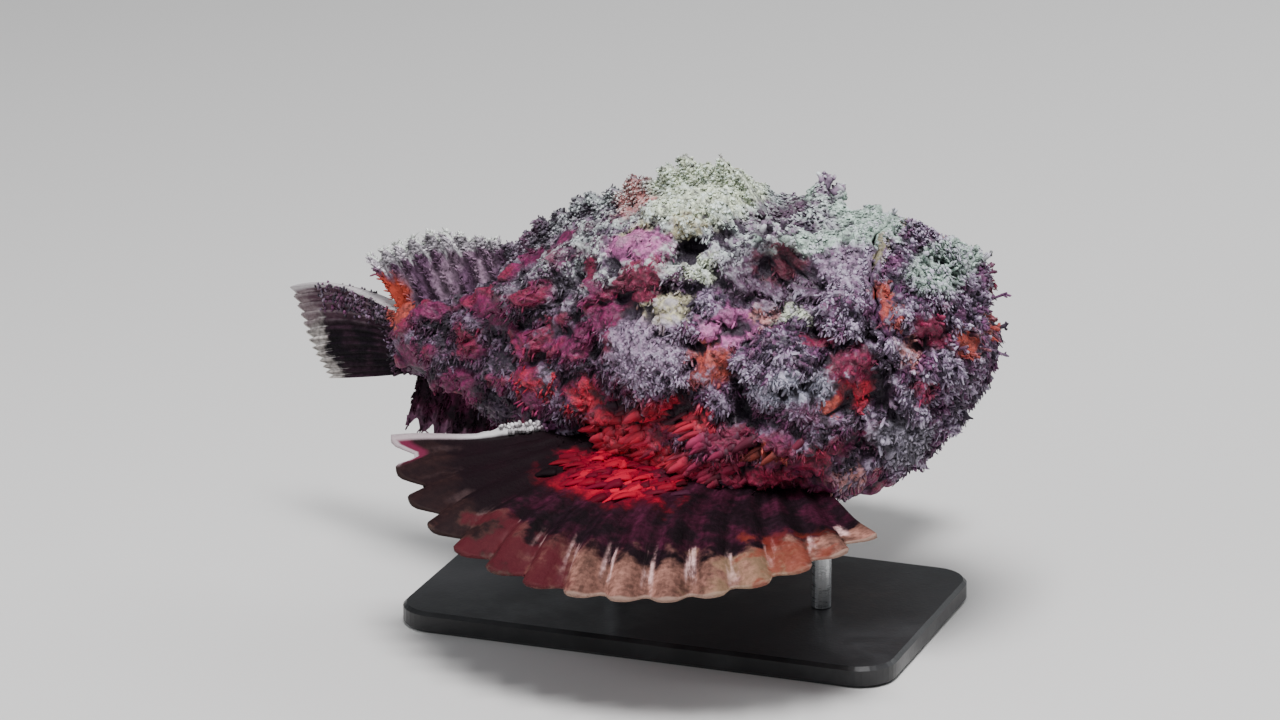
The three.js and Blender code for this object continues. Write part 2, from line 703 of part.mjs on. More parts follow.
// Bends everything behind bendFromX round to the left, on one arc.
const bendLength = bendFromX - (tailRootX - tailFinLength);
const bendRadius = bendLength / tailBend;
function swingTail(p) {
  if (p.x >= bendFromX) return p;
  const heading = (bendFromX - p.x) / bendRadius;
  return new THREE.Vector3(
    bendFromX - bendRadius * Math.sin(heading) + p.y * Math.sin(heading),
    bendRadius * (1 - Math.cos(heading)) + p.y * Math.cos(heading),
    p.z,
  );
}

// Upright or leaning cuts between the parts of the body: the x where z is 0, and the lean
const headCut = { x: -14, lean: degToRad(8) };
const tailCut = { x: -74, lean: 0 };
const tailRootCut = { x: tailRootX, lean: 0 };

const ahead = (solid, { x, lean }) =>
  solid.trimByPlane([Math.cos(lean), 0, Math.sin(lean)], x * Math.cos(lean) + gap / 2);
const behind = (solid, { x, lean }) =>
  solid.trimByPlane([-Math.cos(lean), 0, -Math.sin(lean)], -x * Math.cos(lean) + gap / 2);

// Assembly

const draw = seededDraws(seed);
const folds = joined([
  ...bothSides.flatMap((side) => lobes.map((lobe) => skinLobe({ ...lobe, side }, draw))),
  ...warts(draw),
  ...lipFringe(),
  ...bothSides.flatMap((side) => chinFringe(side, draw)),
  ...bothSides.flatMap((side) => [nostril(side), eyeLid(side), ...browHorns(side)]),
  lipBead(),
]);
const roomForFins = joined([
  spinyDorsalFin(gap),
  softDorsalFin(gap),
  analFinSheet(gap),
  ...bothSides.map((side) => pectoralFin(side, gap)),
]);
const eyes = bothSides.map(eyeCentre);
const sockets = joined(eyes.map((centre) => ballAt(centre, eyeRadius + gap)));
const body = solidOf(bodySkin()).add(folds.subtract(roomForFins)).subtract(sockets);
const clearOfBody = solidOf(bodySkin(gap));
const cutBack = (geometry) => solidOf(geometry).subtract(clearOfBody);

const fish = new THREE.Group();
fish.applyMatrix4(pose);
const model = new THREE.Group();
model.add(fish);

function add(group, name, shape, colour, roughness = 0.85, metalness = 0) {
  const geometry = shape.isBufferGeometry ? shape : geometryOf(shape);
  geometry.computeVertexNormals();
  const material = new THREE.MeshStandardMaterial({ color: colour, roughness, metalness });
  const mesh = new THREE.Mesh(geometry, material);
  mesh.name = name;
  group.add(mesh);
}

// A piece of the straight fish, with what lies behind bendFromX swung round.
const swung = (shape) => mould(shape.isBufferGeometry ? shape : geometryOf(shape), swingTail);

const trunkAndTail = behind(body, headCut);
const headAndJaw = ahead(body, headCut);
const jawGap = gap / Math.cos(throatTilt); // measured along the fish, across the slanting joint
add(fish, "lower_jaw", headAndJaw.intersect(solidOf(jawWedge(0, 0))), algaeGrey);
add(fish, "head", headAndJaw.subtract(solidOf(jawWedge(jawGap, cleftWidth))), stoneMauve);
add(fish, "trunk", swung(ahead(trunkAndTail, tailCut)), stoneMauve);
add(fish, "tail", swung(ahead(behind(trunkAndTail, tailCut), tailRootCut)), crimson);
add(fish, "dorsal_fin_spiny", swung(cutBack(spinyDorsalFin())), algaeGrey);
add(fish, "dorsal_fin_soft", swung(cutBack(softDorsalFin())), stoneMauve);
add(fish, "anal_fin", swung(cutBack(analFinSheet())), crimson);
add(fish, "tail_fin", swung(tailFinSheet()), finTan);
bothSides.forEach((side, i) => {
  const sideName = side === rightSide ? "right" : "left";
  add(fish, `pectoral_fin_${sideName}`, cutBack(pectoralFin(side)), coralRed);
  add(fish, `pelvic_fin_${sideName}`, cutBack(pelvicFin(side)), finTan);
  add(fish, `eye_${sideName}`, ballAt(eyes[i], eyeRadius), eyeMaroon, 0.2);
});
rod.places.forEach((x, i) => {
  add(fish, `stand_rod_${i + 1}`, cutBack(standRod(x)), rodSteel, 0.3, 1);
});
add(model, "stand_base", standBase(), standBlack, 0.4);

export default model;
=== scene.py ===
# A reef stonefish, life size, swimming past with its breast fins spread and its tail swung to its
# left, on a plain display stand.
import math

import bmesh
import bpy
import numpy as np
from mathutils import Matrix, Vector, noise


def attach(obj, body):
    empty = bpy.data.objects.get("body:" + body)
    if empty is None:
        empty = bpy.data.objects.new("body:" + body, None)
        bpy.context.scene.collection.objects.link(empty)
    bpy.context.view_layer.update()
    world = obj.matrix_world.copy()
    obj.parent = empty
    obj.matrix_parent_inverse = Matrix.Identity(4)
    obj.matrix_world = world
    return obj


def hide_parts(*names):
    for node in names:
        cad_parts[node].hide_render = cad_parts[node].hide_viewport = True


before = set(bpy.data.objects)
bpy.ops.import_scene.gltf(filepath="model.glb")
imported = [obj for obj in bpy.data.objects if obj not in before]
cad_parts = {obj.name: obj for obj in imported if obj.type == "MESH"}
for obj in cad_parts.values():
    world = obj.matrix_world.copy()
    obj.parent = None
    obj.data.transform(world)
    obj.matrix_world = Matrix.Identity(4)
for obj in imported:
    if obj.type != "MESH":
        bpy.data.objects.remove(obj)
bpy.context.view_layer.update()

# The hide. One tough, warty skin runs from the lower jaw to the root of the tail fin, over a deep,
# hump-backed body. It is drawn out of a ball whose rings are laid round the fish one behind the
# other. Lengths are millimetres in the fish's own frame: +X to the snout, +Y to its left.
chin_x = 127.0
face_top_x = 90.0
face_bottom_x = 61.0
tail_root_x = -128.0
tail_fin_length = 54.0
axis_height = 112.0
pitch = math.radians(6.3)
tail_bend = math.radians(26.0)
bend_from_x = -44.0
right, left = -1, 1
flanks = (("right", right), ("left", left))
mm = 0.001


def smooth(value, low, high):
    share = np.clip((value - low) / (high - low), 0, 1)
    return share * share * (3 - 2 * share)


def curve_through(*points):
    """A smooth curve through the points (x, value), read at any x."""
    xs, ys = np.array(points, float).T
    here = np.arange(len(xs))
    after, before = np.minimum(here + 1, len(xs) - 1), np.maximum(here - 1, 0)
    slopes = (ys[after] - ys[before]) / (xs[after] - xs[before])

    def read(x):
        i = np.clip(np.searchsorted(xs, x) - 1, 0, len(xs) - 2)
        span = xs[i + 1] - xs[i]
        t = np.clip((x - xs[i]) / span, 0, 1)
        rise = (ys[i + 1] - ys[i]) * t * t * (3 - 2 * t)
        leave, arrive = slopes[i] * t * (1 - t) ** 2, slopes[i + 1] * t * t * (1 - t)
        return ys[i] + rise + span * (leave - arrive)

    return read


back_at = curve_through(
    (-132, 15), (-100, 21), (-67, 40), (-40, 55), (-12, 64), (10, 71), (27, 70), (44, 60),
    (62, 54), (face_top_x, 50))
belly_at = curve_through(
    (-132, -13), (-104, -18), (-72, -32), (-36, -47), (0, -56), (34, -59), (face_bottom_x, -59))
middle_at = curve_through((-132, 1), (-72, 0), (0, -1), (60, -4), (100, 1), (chin_x, 3))
half_width_at = curve_through(
    (-132, 7), (-104, 12), (-72, 23), (-36, 38), (0, 49), (34, 53), (62, 51), (face_top_x, 45))

# Swellings and hollows alike on both sides: place, spread, and rise
swells = (
    ((55, 31, 55), (9.5, 11, 11), 16),  # knob that carries the eye
    ((84, 14, 56), (14, 12, 14), 3),  # snout
    ((37, 0, 58), (8, 30, 14), -6),  # saddle behind the eyes
    ((54, 0, 55), (15, 13, 14), -7),  # hollow between the eyes
    ((58, 46, 36), (12, 14, 9), -9),  # pit under the eye
    ((20, 38, 50), (8, 11, 8), -8),  # pit behind the eye
    ((4, 48, 16), (20, 22, 20), 5),  # gill cover
    ((62, 48, -6), (24, 16, 22), 4),  # cheek
    ((-6, 36, 50), (26, 16, 10), 4),  # shoulder
    ((10, 50, -34), (38, 16, 18), 6),  # root of the breast fin
)


def relief_at(x, y, z):
    rise = 0
    for (at_x, at_y, at_z), (wide, deep, tall), height in swells:
        near = ((x - at_x) / wide) ** 2 + ((abs(y) - at_y) / deep) ** 2 + ((z - at_z) / tall) ** 2
        rise = rise + height * np.exp(-near)
    return rise


# How the face rounds off above, below and to the sides: 2 is an ellipse, and more is blunter
brow_round, chin_round, cheek_round = 1.85, 1.6, 2.1


def round_off(x, start_x, rounding):
    share = np.clip((x - start_x) / (chin_x - start_x), 0, 1)
    return (1 - share ** rounding) ** (1 / rounding)


def skin_point(x, turn, lift=0.0):
    """Points of the bare body at x, turned from the back (0) towards the left flank."""
    boxy = 1 - smooth(x, 84, 116)
    middle, up = middle_at(x), np.cos(turn)
    above = (back_at(x) - middle) * round_off(x, face_top_x, brow_round)
    below = (middle - belly_at(x)) * round_off(x, face_bottom_x, chin_round)
    reach = np.where(
        up > 0, above * abs(up) ** (1 - 0.2 * boxy), -below * abs(up) ** (1 - 0.3 * boxy))
    sideways = np.sign(np.sin(turn)) * abs(np.sin(turn)) ** (1 - 0.15 * boxy)
    y = half_width_at(x) * round_off(x, face_top_x, cheek_round) * sideways
    away = np.hypot(y, reach) + 1e-9
    rise = relief_at(x, y, middle + reach) * np.minimum(1, away) + lift
    place = (x + 0 * y, y + y / away * rise, middle + reach + reach / away * rise)
    return np.stack(place, axis=-1)


face_travel = (chin_x - face_top_x) * math.pi / 2


def x_after(travel):
    """The x that lies this far back over the skin from the front of the chin."""
    rounding = np.clip(travel / face_travel, 0, 1) * math.pi / 2
    on_face = face_top_x + (chin_x - face_top_x) * np.cos(rounding)
    return np.where(travel > face_travel, face_top_x + face_travel - travel, on_face)


def travel_to(x):
    if x < face_top_x:
        return face_travel + face_top_x - x
    share = (x - face_top_x) / (chin_x - face_top_x)
    return math.acos(share) * face_travel / (math.pi / 2)


def turn_at_height(x, z, side):
    """The turn at which one flank passes the height z."""
    tried = np.linspace(0, math.pi, 721)
    heights = skin_point(np.full(len(tried), float(x)), tried)[:, 2]
    return side * tried[np.argmax(heights <= z)]


def unit(vectors):
    return vectors / np.maximum(np.linalg.norm(vectors, axis=-1, keepdims=True), 1e-9)


def in_place(points, swings=True):
    """Straight fish to table: the tail swings left, the fish pitches nose up and is lifted."""
    x, y, z = np.array(points, float).T
    if swings:
        bend_radius = (bend_from_x - tail_root_x + tail_fin_length) / tail_bend
        heading = np.maximum(bend_from_x - x, 0) / bend_radius
        straight_x = np.maximum(x, bend_from_x)
        x = straight_x - (bend_radius - y) * np.sin(heading)
        y = bend_radius * (1 - np.cos(heading)) + y * np.cos(heading)
    ahead = x * math.cos(pitch) - z * math.sin(pitch)
    up = x * math.sin(pitch) + z * math.cos(pitch) + axis_height
    return np.stack((ahead, y, up), axis=-1) * mm


rings, around = 268, 360
travels = np.linspace(0, travel_to(tail_root_x - 3), rings + 1)
turns = np.linspace(-math.pi, math.pi, around + 1)
grid_travel, grid_turn = np.meshgrid(travels, turns, indexing="ij")


def bare_skin(travel, turn):
    """Points of the bare body and the way the skin faces there."""
    step = 0.4
    place = skin_point(x_after(travel), turn)
    back = skin_point(x_after(travel + step), turn) - skin_point(x_after(travel - step), turn)
    bit = 0.01
    round_it = skin_point(x_after(travel), turn + bit) - skin_point(x_after(travel), turn - bit)
    facing = unit(np.cross(round_it, back))
    outward = np.sum(facing * (place - (30, 0, 0)), axis=-1, keepdims=True)
    return place, np.where(outward < 0, -facing, facing)


bare, facing = bare_skin(grid_travel, grid_turn)
bare[0], facing[0] = bare[0].mean(axis=0), (1, 0, 0)
bare[-1], facing[-1] = bare[-1].mean(axis=0), (-1, 0, 0)

# Folds of growth on both flanks: x and height of the middle, half width, half height, tips along the
# rim, and stand. Each rises from its upper edge and breaks off at a fringed lower rim.
folds = (
    (3, 17, 22, 19, 6, 9),  # gill cover
    (58, 15, 20, 12, 6, 8),  # cheek, under the eye
    (66, -12, 22, 14, 7, 8.5),  # lower cheek
    (31, 8, 12, 15, 4, 6.5), (84, 33, 11, 17, 4, 6),  # behind the cheek, side of the snout
    (4, 48, 20, 9, 5, 7), (42, 44, 9, 8, 3, 5),  # shoulder, behind the eye
    (-37, 22, 17, 12, 5, 6.5), (-16, 40, 13, 8, 4, 6), (-60, 29, 13, 8, 4, 5),
    (-69, -2, 14, 10, 4, 5), (-40, -6, 16, 11, 5, 6.5), (-36, -29, 12, 8, 4, 5),
    (-98, 6, 10, 7, 3, 2.5), (-102, -9, 10, 6, 3, 2.5),
    (30, -18, 17, 9, 5, 6.5), (-14, 6, 10, 9, 3, 5.5),  # over the root of the breast fin
    (76, -36, 13, 8, 4, 5.5),  # throat
    (111, 23, 12, 9, 4, 4.5), (116, 2, 12, 10, 4, 4), (103, -22, 14, 9, 5, 5),  # chin
)
draw = np.random.default_rng(7)


def fold_at(x, z, side, wide, tall, tips, stand):
    """A fold centred on the skin there: its travel, turn, and millimetres for a unit of turn."""
    turn, bit = turn_at_height(x, z, side), 0.02
    beside = skin_point(np.full(2, float(x)), turn + np.array([-bit, bit]))
    per_turn = np.linalg.norm(beside[1] - beside[0]) / (2 * bit)
    return dict(start=travel_to(x), turn=turn, per_turn=per_turn, side=side, wide=wide, tall=tall,
                tips=tips, stand=stand)


placed_folds = [fold_at(x, z, side, *fold) for x, z, *fold in folds for side in (right, left)]
small_folds = 400
for index in range(small_folds):
    x = draw.uniform(-118, 121)
    z = draw.uniform(belly_at(x) * 0.75, back_at(x) * 0.93) * (1 - 0.4 * smooth(x, 96, 124))
    size = draw.uniform(0.75, 1.35) * (0.7 + 0.3 * smooth(x, -110, -60))
    side = left if index % 2 else right
    placed_folds.append(fold_at(x, z, side, 7.5 * size, 5.5 * size, 3, 3.4 * size))


def fold_rim(angle, tips, seed):
    notches = 0.07 * np.cos(2 * tips * angle + seed) + 0.05 * np.cos(5 * tips * angle + 3 * seed)
    return 1 + notches + 0.06 * np.cos(3.7 * angle + 2 * seed)


lift = np.zeros_like(grid_travel)
for index, fold in enumerate(placed_folds):
    forward = (fold["start"] - travels) / fold["wide"]
    down = fold["side"] * (turns - fold["turn"]) * fold["per_turn"] / fold["tall"]
    rows, columns = np.flatnonzero(abs(forward) < 1.3), np.flatnonzero(abs(down) < 1.3)
    ahead, below = np.meshgrid(forward[rows], down[columns], indexing="ij")
    reach, angle = np.hypot(ahead, below) + 1e-6, np.arctan2(ahead, below)
    soft = 0.95 - 0.8 * smooth(below / reach, -0.25, 0.45)
    ribs = 1 + 0.16 * np.cos(3 * fold["tips"] * angle + index) * smooth(reach, 0.3, 0.8)
    height = fold["stand"] * ribs * smooth(
        fold_rim(angle, fold["tips"], index) - reach, 0, soft)
    under = lift[np.ix_(rows, columns)]
    lift[np.ix_(rows, columns)] = np.maximum(under, 0.45 * under + height)

# Single knobs and pits, as x, height, radius and rise
knobs = (
    (86, 3, 6.5, 6), (78, -5, 4.5, 3.5), (33, 13, 6, 2.5), (52, -25, 5, 3), (70, -25, 6, 4),
    (-48, 0, 7, 3), (-26, -6, 7, 3), (-122, 12, 6, 2), (126, 4, 4, 1.5), (114, 33, 8, 2.5),
    (21, 53, 5.5, -9), (113, 15, 7, -6), (95, 3, 8, -8), (95, -9, 7, -5), (74, 21, 5, -4),
    (111, 3, 6, -5), (43, 25, 5, -3), (-9, 43, 7, -5), (-58, 9, 9, -5), (-97, 9, 8, -4),
    (20, -3, 6, -5), (-6, -6, 7, -4), (30, 30, 6, -3), (64, 39, 8, -8), (51, 44, 8, -6),
    (-49, 27, 7, -5), (-36, 19, 7, -4), (-32, 39, 6, -4), (-78, 6, 9, -4), (-18, 14, 6, -4),
    (44, -5, 6, -5), (32, 54, 5, -4), (92, 18, 6, -4), (120, 13, 5, -4), (114, -9, 6, -5),
    (101, -14, 6, -4), (84, -28, 7, -4), (72, 38, 6, -8),
    (61, 32, 6, 4), (77, 29, 5, 3), (36, 4, 5, -4), (-88, -12, 8, -3), (-72, -14, 7, -4),
    (11, 39, 5, -4), (86, 25, 5, -3), (57, 60, 7, 4), (75, 50, 6, 2.5), (64, 53, 6, 2.5),
)
for x, z, radius, rise in knobs:
    for side in (right, left):
        middle = skin_point(float(x), turn_at_height(x, z, side))
        lift += rise * np.exp(-(np.linalg.norm(bare - middle, axis=-1) / radius) ** 2)

# Warts: small domes scattered over the back and flanks
wart_count = 130
wart_spots = bare[draw.integers(30, rings - 8, wart_count), draw.integers(0, around, wart_count)]
for middle in wart_spots:
    radius = draw.uniform(1.9, 3.4)
    lift += 0.9 * radius * np.exp(-(np.linalg.norm(bare - middle, axis=-1) / radius) ** 2)

# The cleft of the mouth: over the snout and down to a corner on each cheek
mouth_corner_x = 102.0
mouth_corner_z = 4.0
mouth_tilt = math.radians(15.0)


def mouth_x(z):
    wander = 0.9 * np.sin(0.45 * z) + 0.6 * np.sin(1.1 * z + 1)
    return mouth_corner_x - (z - mouth_corner_z) * math.tan(mouth_tilt) + wander


off_cleft = (bare[..., 0] - mouth_x(bare[..., 2])) / 1.5
lift -= 5 * np.exp(-off_cleft ** 2) * smooth(bare[..., 2], mouth_corner_z - 3, mouth_corner_z + 3)


def noise_on(points, size, seed=0.0):
    """Smooth noise from about -1 to 1 at each of the points, its lumps about this size."""
    flat = np.reshape(points, (-1, 3)) / size + seed
    return np.reshape([noise.noise(Vector(place)) for place in flat], points.shape[:-1])


size_here = smooth(bare[..., 0], -140, -60) * 0.6 + 0.4
clumps = noise_on(bare, 5.5, 11.0)
lift += 2.4 * noise_on(bare, 13) * size_here
lift += 1.6 * clumps * size_here

# Curled crests wander over the crust, and smooth swellings of bare red flesh, drawn out along the
# fish, come through it on the rear and on the lower cheeks
warped = bare + 2.5 * np.stack([noise_on(bare, 8.0, seed) for seed in (61.0, 67.0, 71.0)], axis=-1)
crests = 1 - np.minimum(1, abs(noise_on(warped, 7.0, 83.0)) / 0.17)
rearward = smooth(bare[..., 0], 12, -22)
lower_cheek = smooth(bare[..., 2], 0, -18) * smooth(bare[..., 0], 106, 84)
flesh = smooth(noise_on(warped * (0.55, 1, 1), 9.0, 51.0), 0.02, 0.26)
flesh = flesh * np.maximum(rearward * (1 - 0.75 * smooth(bare[..., 2], 36, 52)), 0.8 * lower_cheek)


# Patches of sponge and algae on both flanks: place (distance from the middle plane as y), size,
# tint, how bare of growth, and lean of the patch as seen from the right. The black patch behind each
# eye is a painted shadow in its pit, and the dusk patches are partly painted shade in the hollows.
tints = dict(
    cream=(0.62, 0.68, 0.50), pale_green=(0.38, 0.50, 0.42), lavender=(0.24, 0.155, 0.24),
    crimson=(0.16, 0.0005, 0.030), magenta=(0.125, 0.002, 0.050), pink=(0.40, 0.10, 0.27),
    red=(0.40, 0.005, 0.024), orange=(0.34, 0.048, 0.030), salmon=(0.42, 0.16, 0.15),
    maroon=(0.075, 0.006, 0.018), black=(0.003, 0.002, 0.004), plum=(0.022, 0.008, 0.024),
    olive=(0.22, 0.19, 0.10), white=(0.34, 0.34, 0.42), grey_green=(0.085, 0.078, 0.098),
    straw=(0.44, 0.40, 0.24), dusk_and_shade=(0.060, 0.022, 0.052), rose=(0.32, 0.010, 0.050),
)
patches = (
    ((18, 12, 70), (30, 26, 12), "cream", 0, 0),
    ((48, 30, 64), (16, 16, 9), "pale_green", 0, 0),
    ((17, 27, 60), (9, 12, 5), "straw", 0, 0),
    ((-4, 30, 59), (8, 10, 4), "straw", 0, 0),
    ((57, 34, 58), (8, 9, 6), "lavender", 0, 0),
    ((66, 26, 52), (16, 14, 5), "pale_green", 0, 0),
    ((84, 8, 54), (20, 16, 9), "pale_green", 0, 0),
    ((-15, 8, 66), (12, 9, 8), "salmon", 0.3, 0),
    ((-2, 38, 54), (16, 12, 8), "pink", 0.8, 0),
    ((-2, 46, 38), (21, 14, 8.5), "crimson", 0.95, 0.6),
    ((-12, 44, 30), (12, 12, 5), "magenta", 0.95, 0.8),
    ((-27, 41, 18), (10, 12, 7), "magenta", 0.9, 0.8),
    ((13, 51, 31), (11, 12, 6.5), "straw", 0.7, 0),
    ((5, 54, 17), (18, 12, 14), "lavender", 0.25, 0),
    ((32, 53, 12), (9.5, 12, 11), "orange", 0.95, 0),
    ((39, 50, 25), (12, 12, 7), "pink", 0.85, 0),
    ((50, 46, 28), (7, 12, 4), "salmon", 0.6, 0),
    ((63, 46, 28), (8, 12, 3), "cream", 0, 0),
    ((74, 47, 19), (5, 9, 4.5), "crimson", 0.95, 0),
    ((66, 54, 2), (17, 12, 6), "white", 0, 0),
    ((95, 45, 3), (9, 16, 14), "plum", 0.9, 0.1),
    ((86, 47, 6), (10, 10, 9), "crimson", 0.95, 0),
    ((86, 48, -3), (8, 10, 7), "red", 0.95, 0),
    ((79, 50, -7), (5, 9, 4), "orange", 0.9, 0),
    # Dusky purple in the hollows between and under the eyes: partly their own colour, partly painted
    # shade.
    ((46, 9, 58), (9, 14, 8), "dusk_and_shade", 0.2, 0),
    ((56, 40, 41), (22, 14, 13), "dusk_and_shade", 0.5, 0),
    ((56, 37, 45), (11, 14, 8), "maroon", 0.8, 0),
    ((25, 45, 46), (9, 12, 5), "cream", 0, 0),
    # Painted shadow: black in the pit behind the eye.
    ((21, 35, 53), (5, 9, 4.5), "black", 0.9, 0),
    ((81, 31, 41), (12, 12, 10), "lavender", 0.2, 0),
    ((93, 19, 47), (2.5, 9, 10), "olive", 0.5, 0),
    ((99, 33, 29), (4, 10, 10), "orange", 0.7, 0.2),
    ((114, 12, 35), (13, 16, 10), "pale_green", 0, 0),
    ((112, 29, 16), (11, 11, 8), "crimson", 0.95, 0),
    ((121, 14, 7), (8, 10, 6), "orange", 0.8, 0),
    ((107, 37, 11), (3, 8, 8), "salmon", 0.5, 0.2),
    ((111, 33, -4), (5, 9, 5), "crimson", 0.9, 0),
    ((100, 34, -25), (13, 14, 12), "grey_green", 0, 0),
    ((-127, 5, 14), (7, 8, 7), "orange", 0.95, 0.2),
    ((-120, 9, 1), (9, 9, 10), "magenta", 0.9, 0),
    ((-58, 12, 43), (7, 9, 5), "magenta", 0.8, 0),
    ((-68, 22, 22), (11, 9, 7), "magenta", 0.9, 0.5),
    ((-46, 33, 15), (9, 9, 7), "crimson", 0.9, 0.5),
    ((-24, 35, 44), (6, 9, 4.5), "crimson", 0.9, 0),
    ((-42, 14, 51), (6, 8, 4), "magenta", 0.8, 0),
    ((-86, 16, 8), (9, 9, 6), "crimson", 0.9, 0.3),
    ((-48, 34, 0), (9, 9, 7), "red", 0.95, 0),
    ((-26, 42, -6), (9, 9, 7), "red", 0.95, 0.3),
    ((-12, 47, -21), (20, 14, 12), "red", 0.95, 0),
    ((16, 53, -10), (18, 12, 8), "red", 0.95, -0.2),
    ((12, 53, -32), (20, 14, 9), "red", 0.95, 0),
    ((40, 55, -20), (16, 12, 6), "crimson", 0.9, -0.1),
    ((42, 54, -33), (22, 13, 6), "rose", 0.95, -0.2),
    ((52, 54, -23), (7, 10, 4), "orange", 0.9, 0),
    ((69, 50, -25), (6, 10, 9), "rose", 0.95, 0),
    ((79, 41, -38), (12, 12, 4), "salmon", 0.7, 0),
    ((-95, 15, -12), (12, 9, 7), "magenta", 0.7, 0),
    ((-75, 22, -20), (12, 9, 8), "plum", 0.5, 0),
)


def bare_at(points):
    """How bare of growth the patches leave the skin, from 0 to 1."""
    covered = np.zeros(points.shape[:-1])
    for place, size, _, bald, lean in patches:
        off = np.stack((points[..., 0], abs(points[..., 1]), points[..., 2]), axis=-1) - place
        turned_x = off[..., 0] * math.cos(lean) + off[..., 2] * math.sin(lean)
        turned_z = off[..., 2] * math.cos(lean) - off[..., 0] * math.sin(lean)
        near = np.sqrt((turned_x / size[0]) ** 2 + (off[..., 1] / size[1]) ** 2
                       + (turned_z / size[2]) ** 2)
        covered = np.maximum(covered, bald * smooth(1.15 - near, 0, 0.35))
    return covered


grid_bare = np.maximum(bare_at(bare), 0.95 * flesh)
crust = 1 - grid_bare
coat_depth = 1.2
lift += 1.7 * flesh + 0.8 * grid_bare - coat_depth
lift += crust * size_here * (1.5 * crests + 1.4 * noise_on(bare, 2.8, 23.0))
lift += 0.3 * grid_bare * noise_on(bare, 3.2, 29.0)


def spread_out(field, steps):
    """The field averaged with its neighbours, so many times."""
    for _ in range(steps):
        rows = np.vstack([field[:1], field, field[-1:]])
        field = (rows[:-2] + rows[2:] + 2 * field) / 4
        inner = field[:, :-1]
        inner = (np.roll(inner, 1, axis=1) + np.roll(inner, -1, axis=1) + 2 * inner) / 4
        field = np.hstack([inner, inner[:, :1]])
    return field


lift[:, -1] = lift[:, 0]
# Hollow and dimples measure how far the hide lies below its smoothed self. The growth colour uses
# them for painted shade in pits and painted light on crests.
hollow = spread_out(lift, 36) - lift
dimples = spread_out(lift, 4) - lift
surface = bare + facing * lift[..., None]
surface[0], surface[-1] = surface[0].mean(axis=0), surface[-1].mean(axis=0)


def fill(made, values):
    """A shader node with its sockets set to the values, or linked where a value is a socket."""
    for name, value in values.items():
        socket = made.inputs[name]
        if isinstance(value, bpy.types.NodeSocket):
            made.id_data.links.new(value, socket)
        else:
            socket.default_value = (*value, 1) if socket.type == "RGBA" else value
    return made


def node(tree, kind, values, **settings):
    made = tree.nodes.new(kind)
    for name, setting in settings.items():
        setattr(made, name, setting)
    return fill(made, values)


def tree_of(values):
    """The node tree of the first of the values that is a socket."""
    return next(value for value in values if isinstance(value, bpy.types.NodeSocket)).id_data


def derived(kind, values, **settings):
    """The first output of a new node that takes up these values."""
    return node(tree_of(values.values()), kind, values, **settings).outputs[0]


def mixed(share, first, second, blend="MIX"):
    sockets = {0: share, 6: first, 7: second}
    tree = tree_of(sockets.values())
    return node(tree, "ShaderNodeMix", sockets, data_type="RGBA", blend_type=blend).outputs[2]


def ramp(value, low, high, start=0.0, end=1.0):
    return derived("ShaderNodeMapRange", {
        "Value": value, "From Min": low, "From Max": high, "To Min": start, "To Max": end,
    }, interpolation_type="SMOOTHSTEP")


def sums(operation, first, second=0.0):
    return derived("ShaderNodeMath", {0: first, 1: second}, operation=operation)


def times(first, *others):
    for other in others:
        first = sums("MULTIPLY", first, other)
    return first


def plus(first, *others):
    for other in others:
        first = sums("ADD", first, other)
    return first


def specks(vector, size, detail=3.0, rough=0.55, seed=0.0, output="Fac"):
    """Noise whose lumps are about this many of the vector's units across."""
    moved = derived("ShaderNodeVectorMath", {0: vector, 1: (seed, seed, seed)})
    return node(moved.id_data, "ShaderNodeTexNoise", {
        "Vector": moved, "Scale": 1 / size, "Detail": detail, "Roughness": rough}).outputs[output]


def shaded(colour, value):
    """The colour made darker by a value under 1 and lighter by one over it."""
    grey = derived("ShaderNodeCombineColor", {0: value, 1: value, 2: value})
    return mixed(1.0, colour, grey, "MULTIPLY")


number, vector, hue = "NodeSocketFloat", "NodeSocketVector", "NodeSocketColor"


def new_group(name, inputs, outputs):
    """An empty shader group, what it is given, and the node that takes its results."""
    group = bpy.data.node_groups.new(name, "ShaderNodeTree")
    for way, sockets in (("INPUT", inputs), ("OUTPUT", outputs)):
        for label, kind in sockets.items():
            group.interface.new_socket(label, in_out=way, socket_type=kind)
    return group, group.nodes.new("NodeGroupInput").outputs, group.nodes.new("NodeGroupOutput")


# Colour of the growth anywhere on the fish. Place is the root's place in millimetres, Tip runs from
# 0 at the root to 1 at the tip, Luck differs from tuft to tuft, Hollow is above 0 in pits, and
# Flesh is the share of bare red flesh. Low Tip and high Hollow darken the colour as painted shade,
# and pale tips show only on crests, which is painted light.
growth, given, result = new_group(
    "reef_growth", dict(Place=vector, Tip=number, Luck=number, Hollow=number, Flesh=number),
    dict(Colour=hue))
place, tip, luck, pit = (given[name] for name in ("Place", "Tip", "Luck", "Hollow"))


def strayed(vector, size, reach, seed):
    """The vector moved about by noise of this size, by up to about half the reach."""
    off = specks(vector, size, 4.0, seed=seed, output="Color")
    off = derived("ShaderNodeVectorMath", {0: off, 1: (0.5, 0.5, 0.5)}, operation="SUBTRACT")
    off = derived("ShaderNodeVectorMath", {0: off, "Scale": reach}, operation="SCALE")
    return derived("ShaderNodeVectorMath", {0: vector, 1: off})


wild = strayed(strayed(place, 9.0, 18.0, 3.0), 3.0, 6.0, 40.0)
parts = node(growth, "ShaderNodeSeparateXYZ", {0: wild}).outputs
mirrored = derived(
    "ShaderNodeCombineXYZ", {0: parts[0], 1: sums("ABSOLUTE", parts[1]), 2: parts[2]})
high = sums("SUBTRACT", parts[2], times(parts[0], 0.16))
high_share = times(ramp(high, 30.0, 52.0), ramp(parts[0], -75.0, -20.0, 0.15, 1.0))
low_share = sums("MAXIMUM", ramp(parts[0], 20.0, -20.0), ramp(high, 2.0, -22.0))
low_share = times(low_share, ramp(parts[0], 98.0, 78.0))


def toned(low, middle, top):
    """One colour on the lower and rear parts, one on the cheeks and one along the back."""
    return mixed(high_share, mixed(low_share, middle, low), top)


